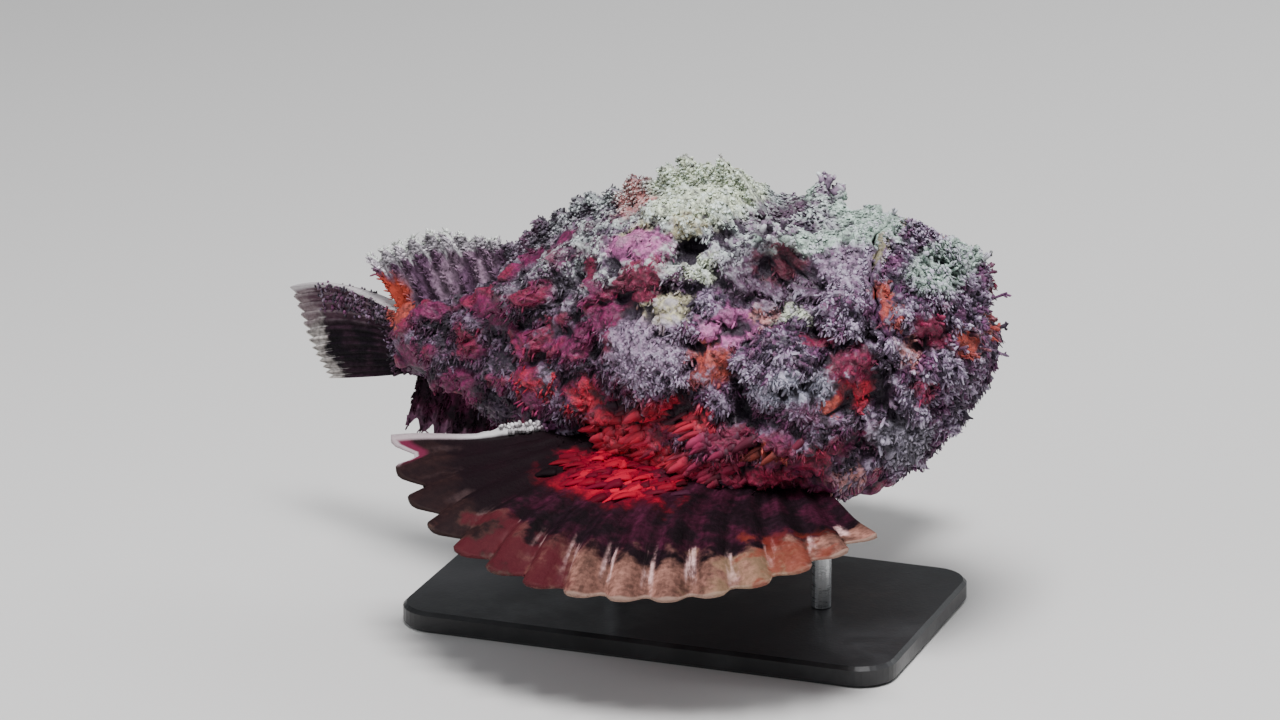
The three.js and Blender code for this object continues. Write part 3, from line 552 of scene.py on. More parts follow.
dark_tone = toned((0.011, 0.004, 0.013), (0.020, 0.008, 0.027), (0.040, 0.025, 0.045))
mid_tone = toned((0.060, 0.008, 0.040), (0.100, 0.024, 0.086), (0.17, 0.105, 0.170))
light_tone = toned((0.14, 0.075, 0.135), (0.25, 0.170, 0.27), (0.38, 0.43, 0.42))
clump_dark = ramp(specks(place, 7.0, 5.0, 0.62), 0.42, 0.53)
clump_light = ramp(specks(place, 9.0, 5.0, 0.64, 31.0), 0.44, 0.58)
colour = mixed(clump_dark, dark_tone, mixed(clump_light, mid_tone, light_tone))
bloody = ramp(specks(place, 15.0, seed=77.0), 0.44, 0.56)
colour = mixed(given["Flesh"], colour, mixed(bloody, tints["crimson"], tints["magenta"]))
for place_at, size, tint, _, lean in patches:
    local = derived("ShaderNodeMapping", {
        "Vector": mirrored, "Location": place_at, "Rotation": (0, -lean, 0), "Scale": size,
    }, vector_type="TEXTURE")
    far = node(growth, "ShaderNodeVectorMath", {0: local}, operation="LENGTH").outputs["Value"]
    colour = mixed(ramp(far, 1.20, 0.75, 0.0, 0.95), colour, tints[tint])
strength = node(growth, "ShaderNodeSeparateColor", {0: colour}, mode="HSV").outputs
vivid = ramp(strength[1], 0.55, 0.90)
bright = ramp(strength[2], 0.03, 0.15, 0.15, 1.0)
dull = ramp(vivid, 0.0, 1.0, 1.0, 0.0)
colour = shaded(colour, ramp(specks(place, 1.8, 2.0, seed=5.0), 0.3, 0.7, 0.55, 1.5))
colour = shaded(colour, ramp(luck, 0.0, 1.0, 0.65, 1.35))
# Painted shade: tuft roots, and the hide's dimples where Tip is low, are darkened towards near-black
# purple.
painted_root_shade = sums("MAXIMUM", ramp(tip, 0.0, 0.55, 0.38, 1.0), times(vivid, 0.55))
colour = mixed(painted_root_shade, (0.010, 0.004, 0.014), colour)
# Painted shade in pores: dark specks where the crust would hold small pits, fewer on vivid flesh and
# towards tips.
painted_pore_shade = times(ramp(specks(place, 2.3, 2.0, 0.5, 90.0), 0.40, 0.34),
               ramp(tip, 0.95, 0.6, 0.0, 0.85), ramp(vivid, 0.0, 1.0, 1.0, 0.35))
colour = mixed(painted_pore_shade, colour, (0.020, 0.010, 0.026))
pale = toned((0.31, 0.24, 0.33), (0.52, 0.46, 0.58), (0.70, 0.79, 0.75))
pale = mixed(vivid, pale, (0.42, 0.12, 0.22))
# Painted light: pale tips and granules show only on crests, where Hollow is below 0. The pale tips
# are the growth's own colour, but keeping them to crests paints light there.
crest = ramp(pit, 0.9, -1.4, 0.25, 1.0)
tip_share = times(ramp(tip, 0.40, 0.95), ramp(luck, 0.2, 0.9), crest,
                  ramp(vivid, 0.0, 1.0, 1.0, 0.12), bright)
granules = times(ramp(specks(place, 1.5, 2.0, 0.5, 71.0), 0.56, 0.66, 0.0, 0.45), dull, crest)
colour = mixed(sums("MAXIMUM", tip_share, granules), colour, pale)
# Painted shade: the colour sinks to near-black purple in the hollows of the hide.
colour = mixed(ramp(pit, 0.3, 2.4, 0.0, 0.94), colour, (0.012, 0.004, 0.015))
fill(result, {"Colour": colour})


def new_material(name, roughness, **values):
    """A material with one Principled shader, and its node tree and shader."""
    made = bpy.data.materials.new(name)
    made.use_nodes = True
    shader = made.node_tree.nodes["Principled BSDF"]
    fill(shader, {key.replace("_", " "): value for key, value in values.items()})
    return made, made.node_tree, fill(shader, {"Roughness": roughness})


def trait(tree, name):
    """What each vertex holds under this name."""
    output = "Vector" if name == "place" else "Fac"
    return node(tree, "ShaderNodeAttribute", {}, attribute_name=name).outputs[output]


def growth_colour(tree):
    traits = {name: trait(tree, name.lower()) for name in ("Place", "Tip", "Luck", "Hollow", "Flesh")}
    return node(tree, "ShaderNodeGroup", traits, node_tree=growth).outputs["Colour"]


def bump(height, distance, strength, **over):
    values = {"Height": height, "Distance": distance, "Strength": strength}
    return derived("ShaderNodeBump", {**values, **over})


hide, tree, shader = new_material("wet_hide", 0.55, Coat_Weight=0.12, Coat_Roughness=0.3)
pores = specks(trait(tree, "place"), 1.1, 4.0, 0.65)
pimples = derived(
    "ShaderNodeTexVoronoi", {"Vector": trait(tree, "place"), "Scale": 0.45, "Randomness": 1.0})
domes = bump(ramp(pimples, 0.0, 0.75, 1.0, 0.0), 0.0010, 0.6)
fill(shader, {"Base Color": growth_colour(tree), "Normal": bump(pores, 0.0010, 0.8, Normal=domes)})


def make_piece(shape, name, points, material, slot, replaced=(), swings=True, **traits):
    """The bmesh as a finished piece, its vertices at these millimetres of the straight fish."""
    for vert, place in zip(shape.verts, in_place(points, swings)):
        vert.co = place
    bmesh.ops.recalc_face_normals(shape, faces=shape.faces)
    mesh = bpy.data.meshes.new(name)
    shape.to_mesh(mesh)
    shape.free()
    dress_mesh(mesh, points, material, **traits)
    settle(mesh, name, replaced)


def dress_mesh(mesh, points, material, **traits):
    """Gives a mesh its material and what the material reads at each vertex."""
    mesh.materials.append(material)
    mesh.shade_smooth()
    mesh.attributes.new("place", "FLOAT_VECTOR", "POINT").data.foreach_set(
        "vector", np.ravel(points).astype(np.float32))
    for key in ("tip", "luck", "hollow", "flesh", "ray", "reach"):
        values = np.broadcast_to(traits.get(key, 0.0), len(mesh.vertices)).astype(np.float32)
        mesh.attributes.new(key, "FLOAT", "POINT").data.foreach_set("value", values)


def settle(mesh, name, replaced=()):
    """Puts the piece in the scene, on its body, and hides the nodes it replaces."""
    piece = bpy.data.objects.new(name, mesh)
    bpy.context.collection.objects.link(piece)
    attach(piece, "root")
    if replaced:
        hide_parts(*replaced)


def vertex_places(shape):
    return np.array([vert.co for vert in shape.verts])


ball = bmesh.new()
bmesh.ops.create_uvsphere(ball, u_segments=around, v_segments=rings, radius=1)
on_ball = vertex_places(ball)
ring = np.rint(np.arccos(np.clip(on_ball[:, 2], -1, 1)) / math.pi * rings).astype(int)
column = np.arctan2(on_ball[:, 1], on_ball[:, 0]) / math.pi + 1
column = np.rint(column / 2 * around).astype(int)
unwrap = ball.loops.layers.uv.new("OFBake")
for face in ball.faces:
    spots = [loop.vert.index for loop in face.loops]
    seam = max(column[spots]) - min(column[spots]) > around / 2
    for loop, spot in zip(face.loops, spots):
        across = column[spot] + (around if seam and column[spot] < around / 2 else 0)
        loop[unwrap].uv = (across / (around + 1), ring[spot] / rings)
# The hide's Tip is lowered in its small dimples, so the growth colour paints them darker: painted
# shade.
make_piece(
    ball, "skin", surface[ring, column], hide, "skin",
    ("head", "lower_jaw", "trunk", "tail"),
    tip=np.clip(0.5 - 0.6 * dimples, 0.05, 1)[ring, column], luck=0.6,
    hollow=hollow[ring, column], flesh=flesh[ring, column])

# The coat. Knobs, flat lobes and twigs of skin and weed crust the hide, thin on the bare red flesh:
# lowest on the back, hanging on the flanks, longest on the chin and along the rims of the folds.
# Each tuft is a small cone with its root sunk in the hide, bent, waisted and flattened to its kind.


def spike(sides, cuts):
    """A tuft one unit long: height and angle of each corner round its middle line, and its faces."""
    cone = bmesh.new()
    bmesh.ops.create_cone(cone, cap_ends=True, segments=sides, radius1=1, radius2=0.5, depth=1)
    rungs = [edge for edge in cone.edges if abs(edge.verts[0].co.z - edge.verts[1].co.z) > 0.5]
    bmesh.ops.subdivide_edges(cone, edges=rungs, cuts=cuts)
    bmesh.ops.triangulate(cone, faces=cone.faces)
    bmesh.ops.recalc_face_normals(cone, faces=cone.faces)
    corners = vertex_places(cone)
    faces = np.array([[vert.index for vert in face.verts] for face in cone.faces])
    cone.free()
    height = corners[:, 2] + 0.5
    return height ** 0.8, np.arctan2(corners[:, 1], corners[:, 0]), faces


spikes = dict(fine=spike(3, 1), twig=spike(3, 2), knob=spike(5, 2), tentacle=spike(6, 6),
              tongue=spike(6, 5))


def lattice(field, travel, turn):
    """A field of the lattice read between its points."""
    row = np.clip(travel / travels[-1] * rings, 0, rings - 1e-6)
    col = np.clip((turn + math.pi) / (2 * math.pi) * around, 0, around - 1e-6)
    i, j = row.astype(int), col.astype(int)
    a, b = row - i, col - j
    if field.ndim == 3:
        a, b = a[:, None], b[:, None]
    upper = field[i, j] * (1 - b) + field[i, j + 1] * b
    lower = field[i + 1, j] * (1 - b) + field[i + 1, j + 1] * b
    return upper * (1 - a) + lower * a


def lie_at(travel, turn, wildness, trail):
    """The way that growth hangs: down the flank and somewhat back, forwards on the chin."""
    here, bit = skin_point(x_after(travel), turn), 0.02
    down = unit(skin_point(x_after(travel), turn + np.sign(turn) * bit) - here)
    back = unit(skin_point(x_after(travel + 0.5), turn) - skin_point(x_after(travel - 0.5), turn))
    on_chin = smooth(here[:, 0], 92, 118)[:, None]
    flow = down + back * (trail - 0.5 * on_chin) + wildness * draw.normal(size=here.shape)
    return unit(flow)


def batch(root, normal, lie, length, width, out, home, spread, pit, flat=1.0, on_fin=(0.0, 0.0),
          red=0.0):
    """Tufts that lean from standing up (out 1) to lying along lie (out 0), coloured as at home."""
    count = len(length)
    return dict(
        root=root, normal=normal, lie=lie, length=length, width=width, out=out, home=home,
        spread=spread, pit=pit, flat=np.full(count, flat), red=np.broadcast_to(red, count),
        on_fin=np.broadcast_to(on_fin, (count, 2)))


def planted(travel, turn, length, width, out, wildness=0.45, proud=0.0, flat=1.0, trail=0.35):
    """A batch of tufts rooted on the hide at these places."""
    # Each tuft's pit is the hollow under its root less how proud it stands. The growth colour paints
    # shade and crest light by it.
    spread = np.stack((turn / (2 * math.pi) + 0.5, travel / travels[-1]), axis=-1)
    return batch(
        lattice(surface, travel, turn), unit(lattice(facing, travel, turn)),
        lie_at(travel, turn, wildness, trail), length, width, out, lattice(bare, travel, turn),
        spread, lattice(hollow, travel, turn) - proud, flat, red=lattice(flesh, travel, turn))


def branches(parents, share, size):
    """A side branch from the stem of this share of the tufts."""
    kept = np.flatnonzero(draw.uniform(size=len(parents["length"])) < share)
    grown = {key: values[kept] for key, values in parents.items()}
    normal, lie, length = grown["normal"], grown["lie"], grown["length"]
    high, out = draw.uniform(0.35, 0.8, (len(kept), 1)), grown["out"][:, None]
    sideways = np.cross(normal, lie) * draw.choice((-1.0, 1.0), len(kept))[:, None]
    grown["root"] = grown["root"] + length[:, None] * high * (
        normal * out + lie * (1 - out) * high ** 0.5)
    grown["normal"] = unit(normal + 1.1 * sideways)
    grown["lie"] = unit(lie + 0.8 * sideways)
    grown["length"] = length * size
    grown["width"] = grown["width"] * 0.75
    return grown


# The even cover: cells of the hide are drawn by their area and by how thickly they are grown
side_a = np.linalg.norm(surface[1:, :-1] - surface[:-1, :-1], axis=-1)
side_b = np.linalg.norm(surface[:-1, 1:] - surface[:-1, :-1], axis=-1)
cell = bare[:-1, :-1]
wanted = side_a * side_b * (1 - 0.98 * smooth(grid_bare[:-1, :-1], 0.0, 0.7))
wanted = wanted * (0.3 + 0.7 * smooth(cell[..., 2] - belly_at(cell[..., 0]), 4, 22))
wanted = wanted * (0.25 + smooth(clumps[:-1, :-1], -0.35, 0.25))
wanted[:3] = 0


def scattered(count, weights):
    """Places on the hide, as travel and turn, drawn by the weight of each cell."""
    picked = draw.choice(weights.size, count, p=np.ravel(weights / weights.sum()))
    row, col = np.divmod(picked, around)
    return (travels[row] + draw.uniform(0, travels[1], count),
            turns[col] + draw.uniform(0, 2 * math.pi / around, count))


def cover(count, long, thick, lift_up, flat, weights):
    """Tufts scattered over the hide by weight, of about this length, thickness and lean."""
    travel, turn = scattered(count, weights)
    home = lattice(bare, travel, turn)
    on_top = smooth(home[:, 2], 30, 52)
    on_chin = smooth(home[:, 0], 98, 120)
    on_belly = 1 - smooth(home[:, 2] - belly_at(home[:, 0]), 4, 22)
    near_tail = 1 - smooth(home[:, 0], -120, -80)
    in_pit = smooth(lattice(hollow, travel, turn), 0.5, 3.0)
    clump = smooth(lattice(clumps, travel, turn), -0.4, 0.5)
    length = long * (1 - 0.52 * on_top + 0.45 * on_chin - 0.40 * on_belly - 0.2 * near_tail)
    length = length * (0.7 + 0.5 * clump) * (1 - 0.5 * in_pit) * draw.uniform(0.6, 1.5, count)
    width = thick * draw.uniform(0.65, 1.4, count) * (1 - 0.15 * near_tail)
    out = lift_up + 0.3 * on_top + 0.2 * on_chin + draw.uniform(-0.15, 0.25, count)
    return planted(travel, turn, length, width, out, flat=flat, trail=0.8)


# Flat lobes, mostly on the lower flanks, and knobs everywhere
leafy = wanted * (0.2 + 0.8 * smooth(cell[..., 2] - 0.16 * cell[..., 0], 34, 12))
batches = dict(
    fine=[cover(11500, long=2.7, thick=0.75, lift_up=0.18, flat=0.40, weights=leafy)], twig=[],
    knob=[cover(15500, long=1.35, thick=0.86, lift_up=0.40, flat=1.0, weights=wanted)],
    tentacle=[])

# The fringes: rows of longer tufts along the lower rim of every fold
for index, fold in enumerate(placed_folds):
    large = fold["wide"] > 10
    per_row = int((fold["wide"] + fold["tall"]) * (2.0 if large else 1.1))
    count = per_row * (3 if large else 2)
    angle = draw.uniform(-1.95, 1.95, count)
    reach = fold_rim(angle, fold["tips"], index) * draw.uniform(0.80, 0.98, count)
    travel = fold["start"] - fold["wide"] * reach * np.sin(angle)
    turn = fold["turn"] + fold["side"] * fold["tall"] * reach * np.cos(angle) / fold["per_turn"]
    here = (travel > 6) & (abs(turn) < math.pi)
    here &= draw.uniform(size=count) > 0.9 * lattice(grid_bare, travel, turn)
    travel, turn, angle = travel[here], turn[here], angle[here]
    count = len(travel)
    hang = 0.5 + 0.5 * np.cos(angle)
    scale = 1.0 if large else 0.8
    length = scale * (1.8 + 2.2 * hang) * draw.uniform(0.6, 1.4, count)
    width = scale * 0.62 * draw.uniform(0.7, 1.4, count)
    batches["twig"].append(planted(
        travel, turn, length, width, draw.uniform(0.25, 0.6, count), wildness=0.35, proud=1.6,
        flat=0.7))

# Feelers on the chin and cheeks, and a crest of stout horns on each brow, all set with side branches
count = 150
travel = draw.uniform(7, travel_to(86.0), count)
turn = draw.uniform(-2.3, 2.3, count)
feelers = planted(travel, turn, draw.uniform(4.5, 7.2, count), draw.uniform(0.7, 1.1, count),
                  draw.uniform(0.7, 0.95, count), wildness=0.6, proud=1.6)
count = 24
horn_x, horn_turn = draw.uniform(48, 62, count), draw.uniform(0.44, 0.58, count)
horn_turn *= np.where(np.arange(count) % 2, right, left)
horns = planted(np.array([travel_to(x) for x in horn_x]), horn_turn,
                draw.uniform(3.5, 7.5, count), draw.uniform(1.4, 2.4, count),
                draw.uniform(0.75, 1.0, count), wildness=0.4, proud=1.0)
batches["tentacle"] += [feelers, horns]
batches["twig"] += [branches(feelers, 1.0, 0.45) for _ in range(3)]
batches["twig"] += [branches(horns, 1.0, 0.35) for _ in range(5)]

# Tongues of smooth red flesh that trail back over one another on the root of each breast fin
redness = np.exp(-((cell[..., 0] - 12) / 29) ** 2 - ((cell[..., 2] + 24) / 12) ** 2)
redness = redness * smooth(bare_at(cell), 0.6, 0.9)
count = 420
travel, turn = scattered(count, side_a * side_b * redness)
batches["tongue"] = [planted(
    travel, turn, draw.uniform(6.0, 12.0, count), draw.uniform(1.1, 2.3, count),
    draw.uniform(0.0, 0.12, count), wildness=0.18, flat=0.6, trail=4.0)]

coat_skin, tree, shader = new_material("growth", 0.72, Coat_Weight=0.05, Coat_Roughness=0.4)
fill(shader, {"Base Color": growth_colour(tree)})
down_now = np.array([0.0, 0.0, -1.0])


def tuft_points(kind, grown):
    """Corners and faces of a batch of tufts, and each corner's traits."""
    height, angle, spike_faces = spikes[kind]
    count, corners = len(grown["length"]), len(height)
    normal, length, out = grown["normal"], grown["length"], grown["out"]
    lie = unit(grown["lie"] - normal * np.sum(grown["lie"] * normal, axis=1, keepdims=True))
    across = np.cross(normal, lie)
    high, sunk = height[None, :, None], 0.12
    out, long = out[:, None, None], length[:, None, None]
    curl = draw.normal(0, 0.08 if kind == "tongue" else 0.22, (count, 1, 1))
    path = grown["root"][:, None] + long * (
        normal[:, None] * out * (high - sunk) + lie[:, None] * (1 - out) * high ** 1.5
        + across[:, None] * curl * high ** 2 + down_now * 0.22 * high ** 2.2 * (1 - out))
    waist, head = draw.uniform(0.55, 0.85, (count, 1)), draw.uniform(0.75, 1.25, (count, 1))
    neck, brow = 0.42, 0.78
    thick = np.where(
        height < neck, 1 + (waist - 1) * height / neck, np.where(
            height < brow, waist + (head - waist) * (height - neck) / (brow - neck),
            head * (1 - 0.5 * (height - brow) / (1 - brow))))
    if kind == "tongue":  # full to near its rounded end
        thick = np.sqrt(1.02 - height ** 3) * waist * 1.4
    thick = thick * draw.uniform(0.85, 1.15, (count, corners))
    thick = (thick * grown["width"][:, None])[..., None]
    tilt = normal[:, None] * (1 - out) - lie[:, None] * out
    points = path + thick * (
        across[:, None] * np.cos(angle)[None, :, None]
        + tilt * np.sin(angle)[None, :, None] * grown["flat"][:, None, None])
    faces = (spike_faces[None] + corners * np.arange(count)[:, None, None]).reshape(-1, 3)
    patch = 0.003
    local = np.stack((angle / (2 * math.pi), height - 0.5), axis=-1) * patch
    where = (grown["spread"][:, None] + local[None]).reshape(-1, 2)
    traits = dict(
        tip=np.tile(height, count), luck=np.repeat(draw.uniform(size=count), corners),
        hollow=np.repeat(grown["pit"], corners), flesh=np.repeat(grown["red"], corners),
        ray=np.repeat(grown["on_fin"][:, 0], corners),
        reach=np.repeat(grown["on_fin"][:, 1], corners))
    return points.reshape(-1, 3), faces, where, np.repeat(grown["home"], corners, axis=0), traits


def tuft_piece(name, kinds, material=coat_skin, swings=True):
    """One piece of all these tufts, given as a batch of each kind."""
    made = [tuft_points(kind, grown) for kind, grown in kinds.items()]
    starts = np.cumsum([0] + [len(part[0]) for part in made[:-1]])
    faces = np.concatenate([part[1] + start for part, start in zip(made, starts)])
    points, where, home = (np.concatenate([part[i] for part in made]) for i in (0, 2, 3))
    traits = {key: np.concatenate([part[4][key] for part in made]) for key in made[0][4]}
    mesh = bpy.data.meshes.new(name)
    mesh.from_pydata(in_place(points, swings).tolist(), [], faces.tolist())
    dress_mesh(mesh, home, material, **traits)
    mesh.uv_layers.new(name="OFBake").data.foreach_set("uv", np.ravel(where[faces.ravel()]))
    settle(mesh, name)


def joined(grown):
    return {key: np.concatenate([part[key] for part in grown]) for key in grown[0]}


gathered = {kind: joined(grown) for kind, grown in batches.items()}
regions = ("chin", "mouth", "cheeks", "gills", "shoulders", "flanks", "rear", "tail")
all_x = np.concatenate([grown["home"][:, 0] for grown in gathered.values()])
bounds = np.quantile(all_x, np.linspace(1, 0, len(regions) + 1))
bounds[0], bounds[-1] = np.inf, -np.inf
for region, front, rear in zip(regions, bounds[:-1], bounds[1:]):
    here = {}
    for kind, grown in gathered.items():
        rows = np.flatnonzero((grown["home"][:, 0] <= front) & (grown["home"][:, 0] > rear))
        if len(rows):
            here[kind] = {key: values[rows] for key, values in grown.items()}
    tuft_piece(f"coat_{region}", here)

# The breast fins. A fan of fourteen thick rays in a leathery web spreads from each flank, dark
# inside, that darkness partly the web's own colour and partly painted shade, with a tan band along
# its scalloped edge and tongues of red flesh over its root. Each fin is a closed sheet drawn as a
# grid and laid out ray by ray, its rays standing up on both faces.


def ray_share(u, rays):
    return np.cos(math.pi * rays * u) ** 2


def fin_piece(name, columns, rows, middle, thickness, material, slot, replaced, swings=True):
    """A closed sheet on middle(u, v): u from ray to ray, v from the root to the edge."""
    sheet = bmesh.new()
    bmesh.ops.create_grid(sheet, x_segments=columns, y_segments=rows, size=0.5)
    grown = bmesh.ops.extrude_face_region(sheet, geom=sheet.faces[:])
    lifted = [part for part in grown["geom"] if isinstance(part, bmesh.types.BMVert)]
    bmesh.ops.translate(sheet, verts=lifted, vec=(0, 0, 1))
    sheet.verts.index_update()
    u, v, face = vertex_places(sheet).T + np.array([[0.5], [0.5], [-0.5]])
    step = 1e-3
    along_u = unit(middle(u + step, v) - middle(u - step, v))
    along_v = unit(middle(u, v + step) - middle(u, v - step))
    normal = unit(np.cross(along_u, along_v))
    points = middle(u, v) + normal * (face * thickness(u, v))[:, None]
    make_piece(sheet, name, points, material, slot, replaced, swings, tip=0.6, luck=0.4, ray=u,
               reach=v)
    return dict(points=points, facing=normal * np.sign(face)[:, None], along=along_v, u=u, v=v,
                upper=face > 0)


def on_sheet(sheet, count, weights, long, thick, out=0.5, flat=1.0, proud=0.8, wild=0.35, trail=0):
    """A batch of tufts on both faces of a fin, most where the weights are high."""
    # Pit here is minus how proud the tufts stand. Where the growth colour is used, this paints them
    # lighter as on a crest: painted light.
    spots = draw.choice(len(weights), count, p=weights / weights.sum())
    points, facing, along, u, v, upper = (values[spots] for values in sheet.values())
    return batch(
        points + draw.uniform(-0.4, 0.4, (count, 3)), facing,
        unit(along + wild * draw.normal(size=(count, 3)) - np.array([trail, 0, 0])),
        long * draw.uniform(0.6, 1.4, count), thick * draw.uniform(0.7, 1.35, count),
        out + draw.uniform(-0.15, 0.2, count), points, np.stack((u, (v + upper) / 2), axis=-1),
        np.full(count, -proud), flat, np.stack((u, v), axis=-1))


# Colour of a fin's web. Ray and Reach are the place across and out along the fin from 0 to 1, and
# Wander is a slow noise that the finer markings share. The web also carries painted highlights as
# short streaks, and painted light and shade on the two sides of each ray.
fin_web, given, result = new_group(
    "fin_web",
    {"Ray": number, "Reach": number, "Place": vector, "Rays": number, "Band From": number,
     "Inner": hue, "Middle": hue, "Band": hue, "Glint": hue, "Rim": hue},
    dict(Colour=hue, Relief=number, Wander=number))
cloud = specks(given["Place"], 12.0, 4.0)
fine = specks(given["Place"], 2.2, seed=9.0)
wander = times(sums("SUBTRACT", cloud, 0.5), 0.4)
across = times(given["Ray"], given["Rays"])
crest = sums("POWER", sums("ABSOLUTE", sums("COSINE", times(across, math.pi))), 2.0)
striae = specks(derived(
    "ShaderNodeCombineXYZ", {0: times(across, 3.5), 1: times(given["Reach"], 4.0)}), 1.0, 4.0)
from_band = sums("SUBTRACT", plus(given["Reach"], wander, times(crest, 0.05)), given["Band From"])
colour = mixed(ramp(cloud, 0.42, 0.60), given["Inner"], given["Middle"])
colour = mixed(ramp(from_band, 0.0, 0.09), colour, given["Band"])
# Painted highlights: short pale streaks in the web between rays at the inner edge of the band,
# standing for light on the ray folds.
glint_streak = times(ramp(crest, 0.35, 0.05), ramp(from_band, -0.06, 0.02),
               ramp(from_band, 0.24, 0.10), ramp(striae, 0.44, 0.60))
colour = mixed(glint_streak, colour, given["Glint"])
# Painted light and shade: each ray's web is lighter on one side and darker on the other, as if lit
# from that side. The fine and striae grain is the web's own.
sideways = sums("SINE", times(across, 2 * math.pi))
colour = shaded(colour, times(
    ramp(fine, 0.3, 0.7, 0.65, 1.3), ramp(striae, 0.35, 0.65, 0.6, 1.3),
    ramp(sideways, 0.9, -0.9, 0.72, 1.28)))
colour = mixed(ramp(given["Reach"], 0.978, 0.995), colour, given["Rim"])
relief = plus(times(striae, 0.6), times(fine, 0.4))
fill(result, {"Colour": colour, "Relief": relief, "Wander": wander})


def fin_material(name, rays, palette, markings=None):
    """A fin's skin in its palette, with further markings laid over the web's colour."""
    made, tree, shader = new_material(
        name, 0.75, Coat_Weight=0.02, Coat_Roughness=0.35, Specular_IOR_Level=0.08)
    u, v = trait(tree, "ray"), trait(tree, "reach")
    web = node(tree, "ShaderNodeGroup", dict(
        palette, Ray=u, Reach=v, Rays=rays, Place=trait(tree, "place")), node_tree=fin_web).outputs
    colour = web["Colour"]
    if markings:
        colour = markings(colour, u, v, web["Wander"])
    colour = shaded(colour, ramp(trait(tree, "luck"), 0.0, 1.0, 0.75, 1.35))
    fill(shader, {"Base Color": colour, "Normal": bump(web["Relief"], 0.0020, 0.9)})
    return made


pectoral_rays = 14
rear_root, front_root = (-32.0, -28.0), (58.0, -47.0)
fan_centre, fan_reach = (4.0, 46.0), (111.0, 90.0)
fan_from = math.radians(17)
fan_to = {right: math.radians(154), left: math.radians(129)}
pectoral_edge_z = curve_through(
    (0, -15), (0.07, -24), (0.16, -34), (0.28, -45), (0.42, -54), (0.56, -59), (0.72, -60),
    (1, -50))
root_samples = np.linspace(0, 1, 25)
root_flank = [
    abs(float(skin_point(x, turn_at_height(x, z, left))[1]))
    for x, z in zip(np.linspace(rear_root[0], front_root[0], 25),
                    np.linspace(rear_root[1], front_root[1], 25))]


def pectoral_middle(side):
    sunk, camber, bow = 8.0, 6.0, 7.0

    def middle(u, v):
        root_x = rear_root[0] + (front_root[0] - rear_root[0]) * u
        root_z = rear_root[1] + (front_root[1] - rear_root[1]) * u
        flank = np.interp(u, root_samples, root_flank)
        angle = fan_from + (fan_to[side] - fan_from) * u
        web = 1 - ray_share(u, pectoral_rays)
        scallop = 1 - 0.085 * web ** 2 * v ** 2
        tip_x = fan_centre[0] - fan_reach[0] * scallop * np.cos(angle)
        tip_y = fan_centre[1] + fan_reach[1] * scallop * np.sin(angle)
        tip_z = pectoral_edge_z(u)
        inside = np.sin(math.pi * np.clip(v, 0, 1)) * np.sin(math.pi * np.clip(u, 0, 1))
        x = root_x + (tip_x - root_x) * v - bow * inside
        y = flank - sunk + (tip_y - flank + sunk) * v
        z = root_z + (tip_z - root_z) * v + camber * inside
        z = z - 1.3 * web * smooth(v, 0.2, 1) + 0.8 * np.sin(9 * v + 5 * u) * v
        return np.stack((x, side * y, z), axis=-1)

    return middle


def pectoral_thickness(u, v):
    web = np.interp(v, (0, 0.67, 1), (7, 1.5, 0.9))
    ridge = 2.4 * ray_share(u, pectoral_rays) ** 3 * (1 - 0.6 * v)
    on_red = smooth(v, 0.58, 0.30) * smooth(u, 0.72, 0.55)
    lumps = noise_on(np.stack((u * 26, v * 9, 0 * u), axis=-1), 1.0)
    swollen = smooth(v, 0.60, 0.48) * smooth(v, 0.24, 0.34) + smooth(v, 0.24, 0.14)
    beaded = 0.35 + 1.6 * swollen * (1 + 0.35 * np.sin(70 * v))
    rear_bead = 2.2 * smooth(u, 0.014, 0.0) * beaded
    return web + ridge * smooth(v, 0, 0.15) + 2.6 * on_red * (0.5 + lumps) + rear_bead


def breast_markings(colour, u, v, wander):
    """Blots on the band, the dark rear rays (partly painted shade), red flesh at the root, and a pale
    beaded rear edge.
    """
    over, out = plus(u, wander), plus(v, wander)

    def rays_between(low, rise, fall, high):
        return times(ramp(over, low, rise), ramp(over, high, fall))

    for blot, share, inner_edge, blot_hue in (
            (rays_between(0.24, 0.31, 0.40, 0.52), 0.95, 0.68, (0.070, 0.008, 0.014)),
            (rays_between(0.68, 0.76, 0.80, 0.88), 0.35, 0.72, (0.28, 0.20, 0.105)),
            (rays_between(0.79, 0.84, 0.86, 0.92), 0.60, 0.62, (0.20, 0.026, 0.014))):
        blot = times(blot, ramp(out, inner_edge, inner_edge + 0.10), share)
        colour = mixed(blot, colour, blot_hue)
    # The rear rays go near black: partly their own colour, partly painted shade.
    colour = mixed(times(ramp(over, 0.33, 0.24), 0.94), colour, (0.008, 0.003, 0.005))
    flesh = specks(trait(colour.id_data, "place"), 6.0, 4.0, 0.6, 12.0)
    red = mixed(ramp(flesh, 0.38, 0.50), (0.10, 0.001, 0.012), (0.22, 0.002, 0.016))
    red = mixed(ramp(flesh, 0.50, 0.60), red, tints["red"])
    root = times(ramp(out, 0.50, 0.34), ramp(over, 0.62, 0.48), ramp(over, 0.17, 0.27))
    colour = mixed(root, colour, red)
    corner = times(ramp(u, 0.070, 0.045), ramp(v, 0.89, 0.94))
    colour = mixed(corner, colour, (0.13, 0.014, 0.040))
    bead = mixed(ramp(v, 0.24, 0.30), (0.21, 0.075, 0.17), (0.60, 0.57, 0.58))
    bead = mixed(ramp(v, 0.55, 0.75), bead, (0.42, 0.34, 0.36))
    corner_rim = times(ramp(v, 0.965, 0.985), ramp(u, 0.07, 0.05))
    return mixed(sums("MAXIMUM", ramp(u, 0.013, 0.006), corner_rim), colour, bead)


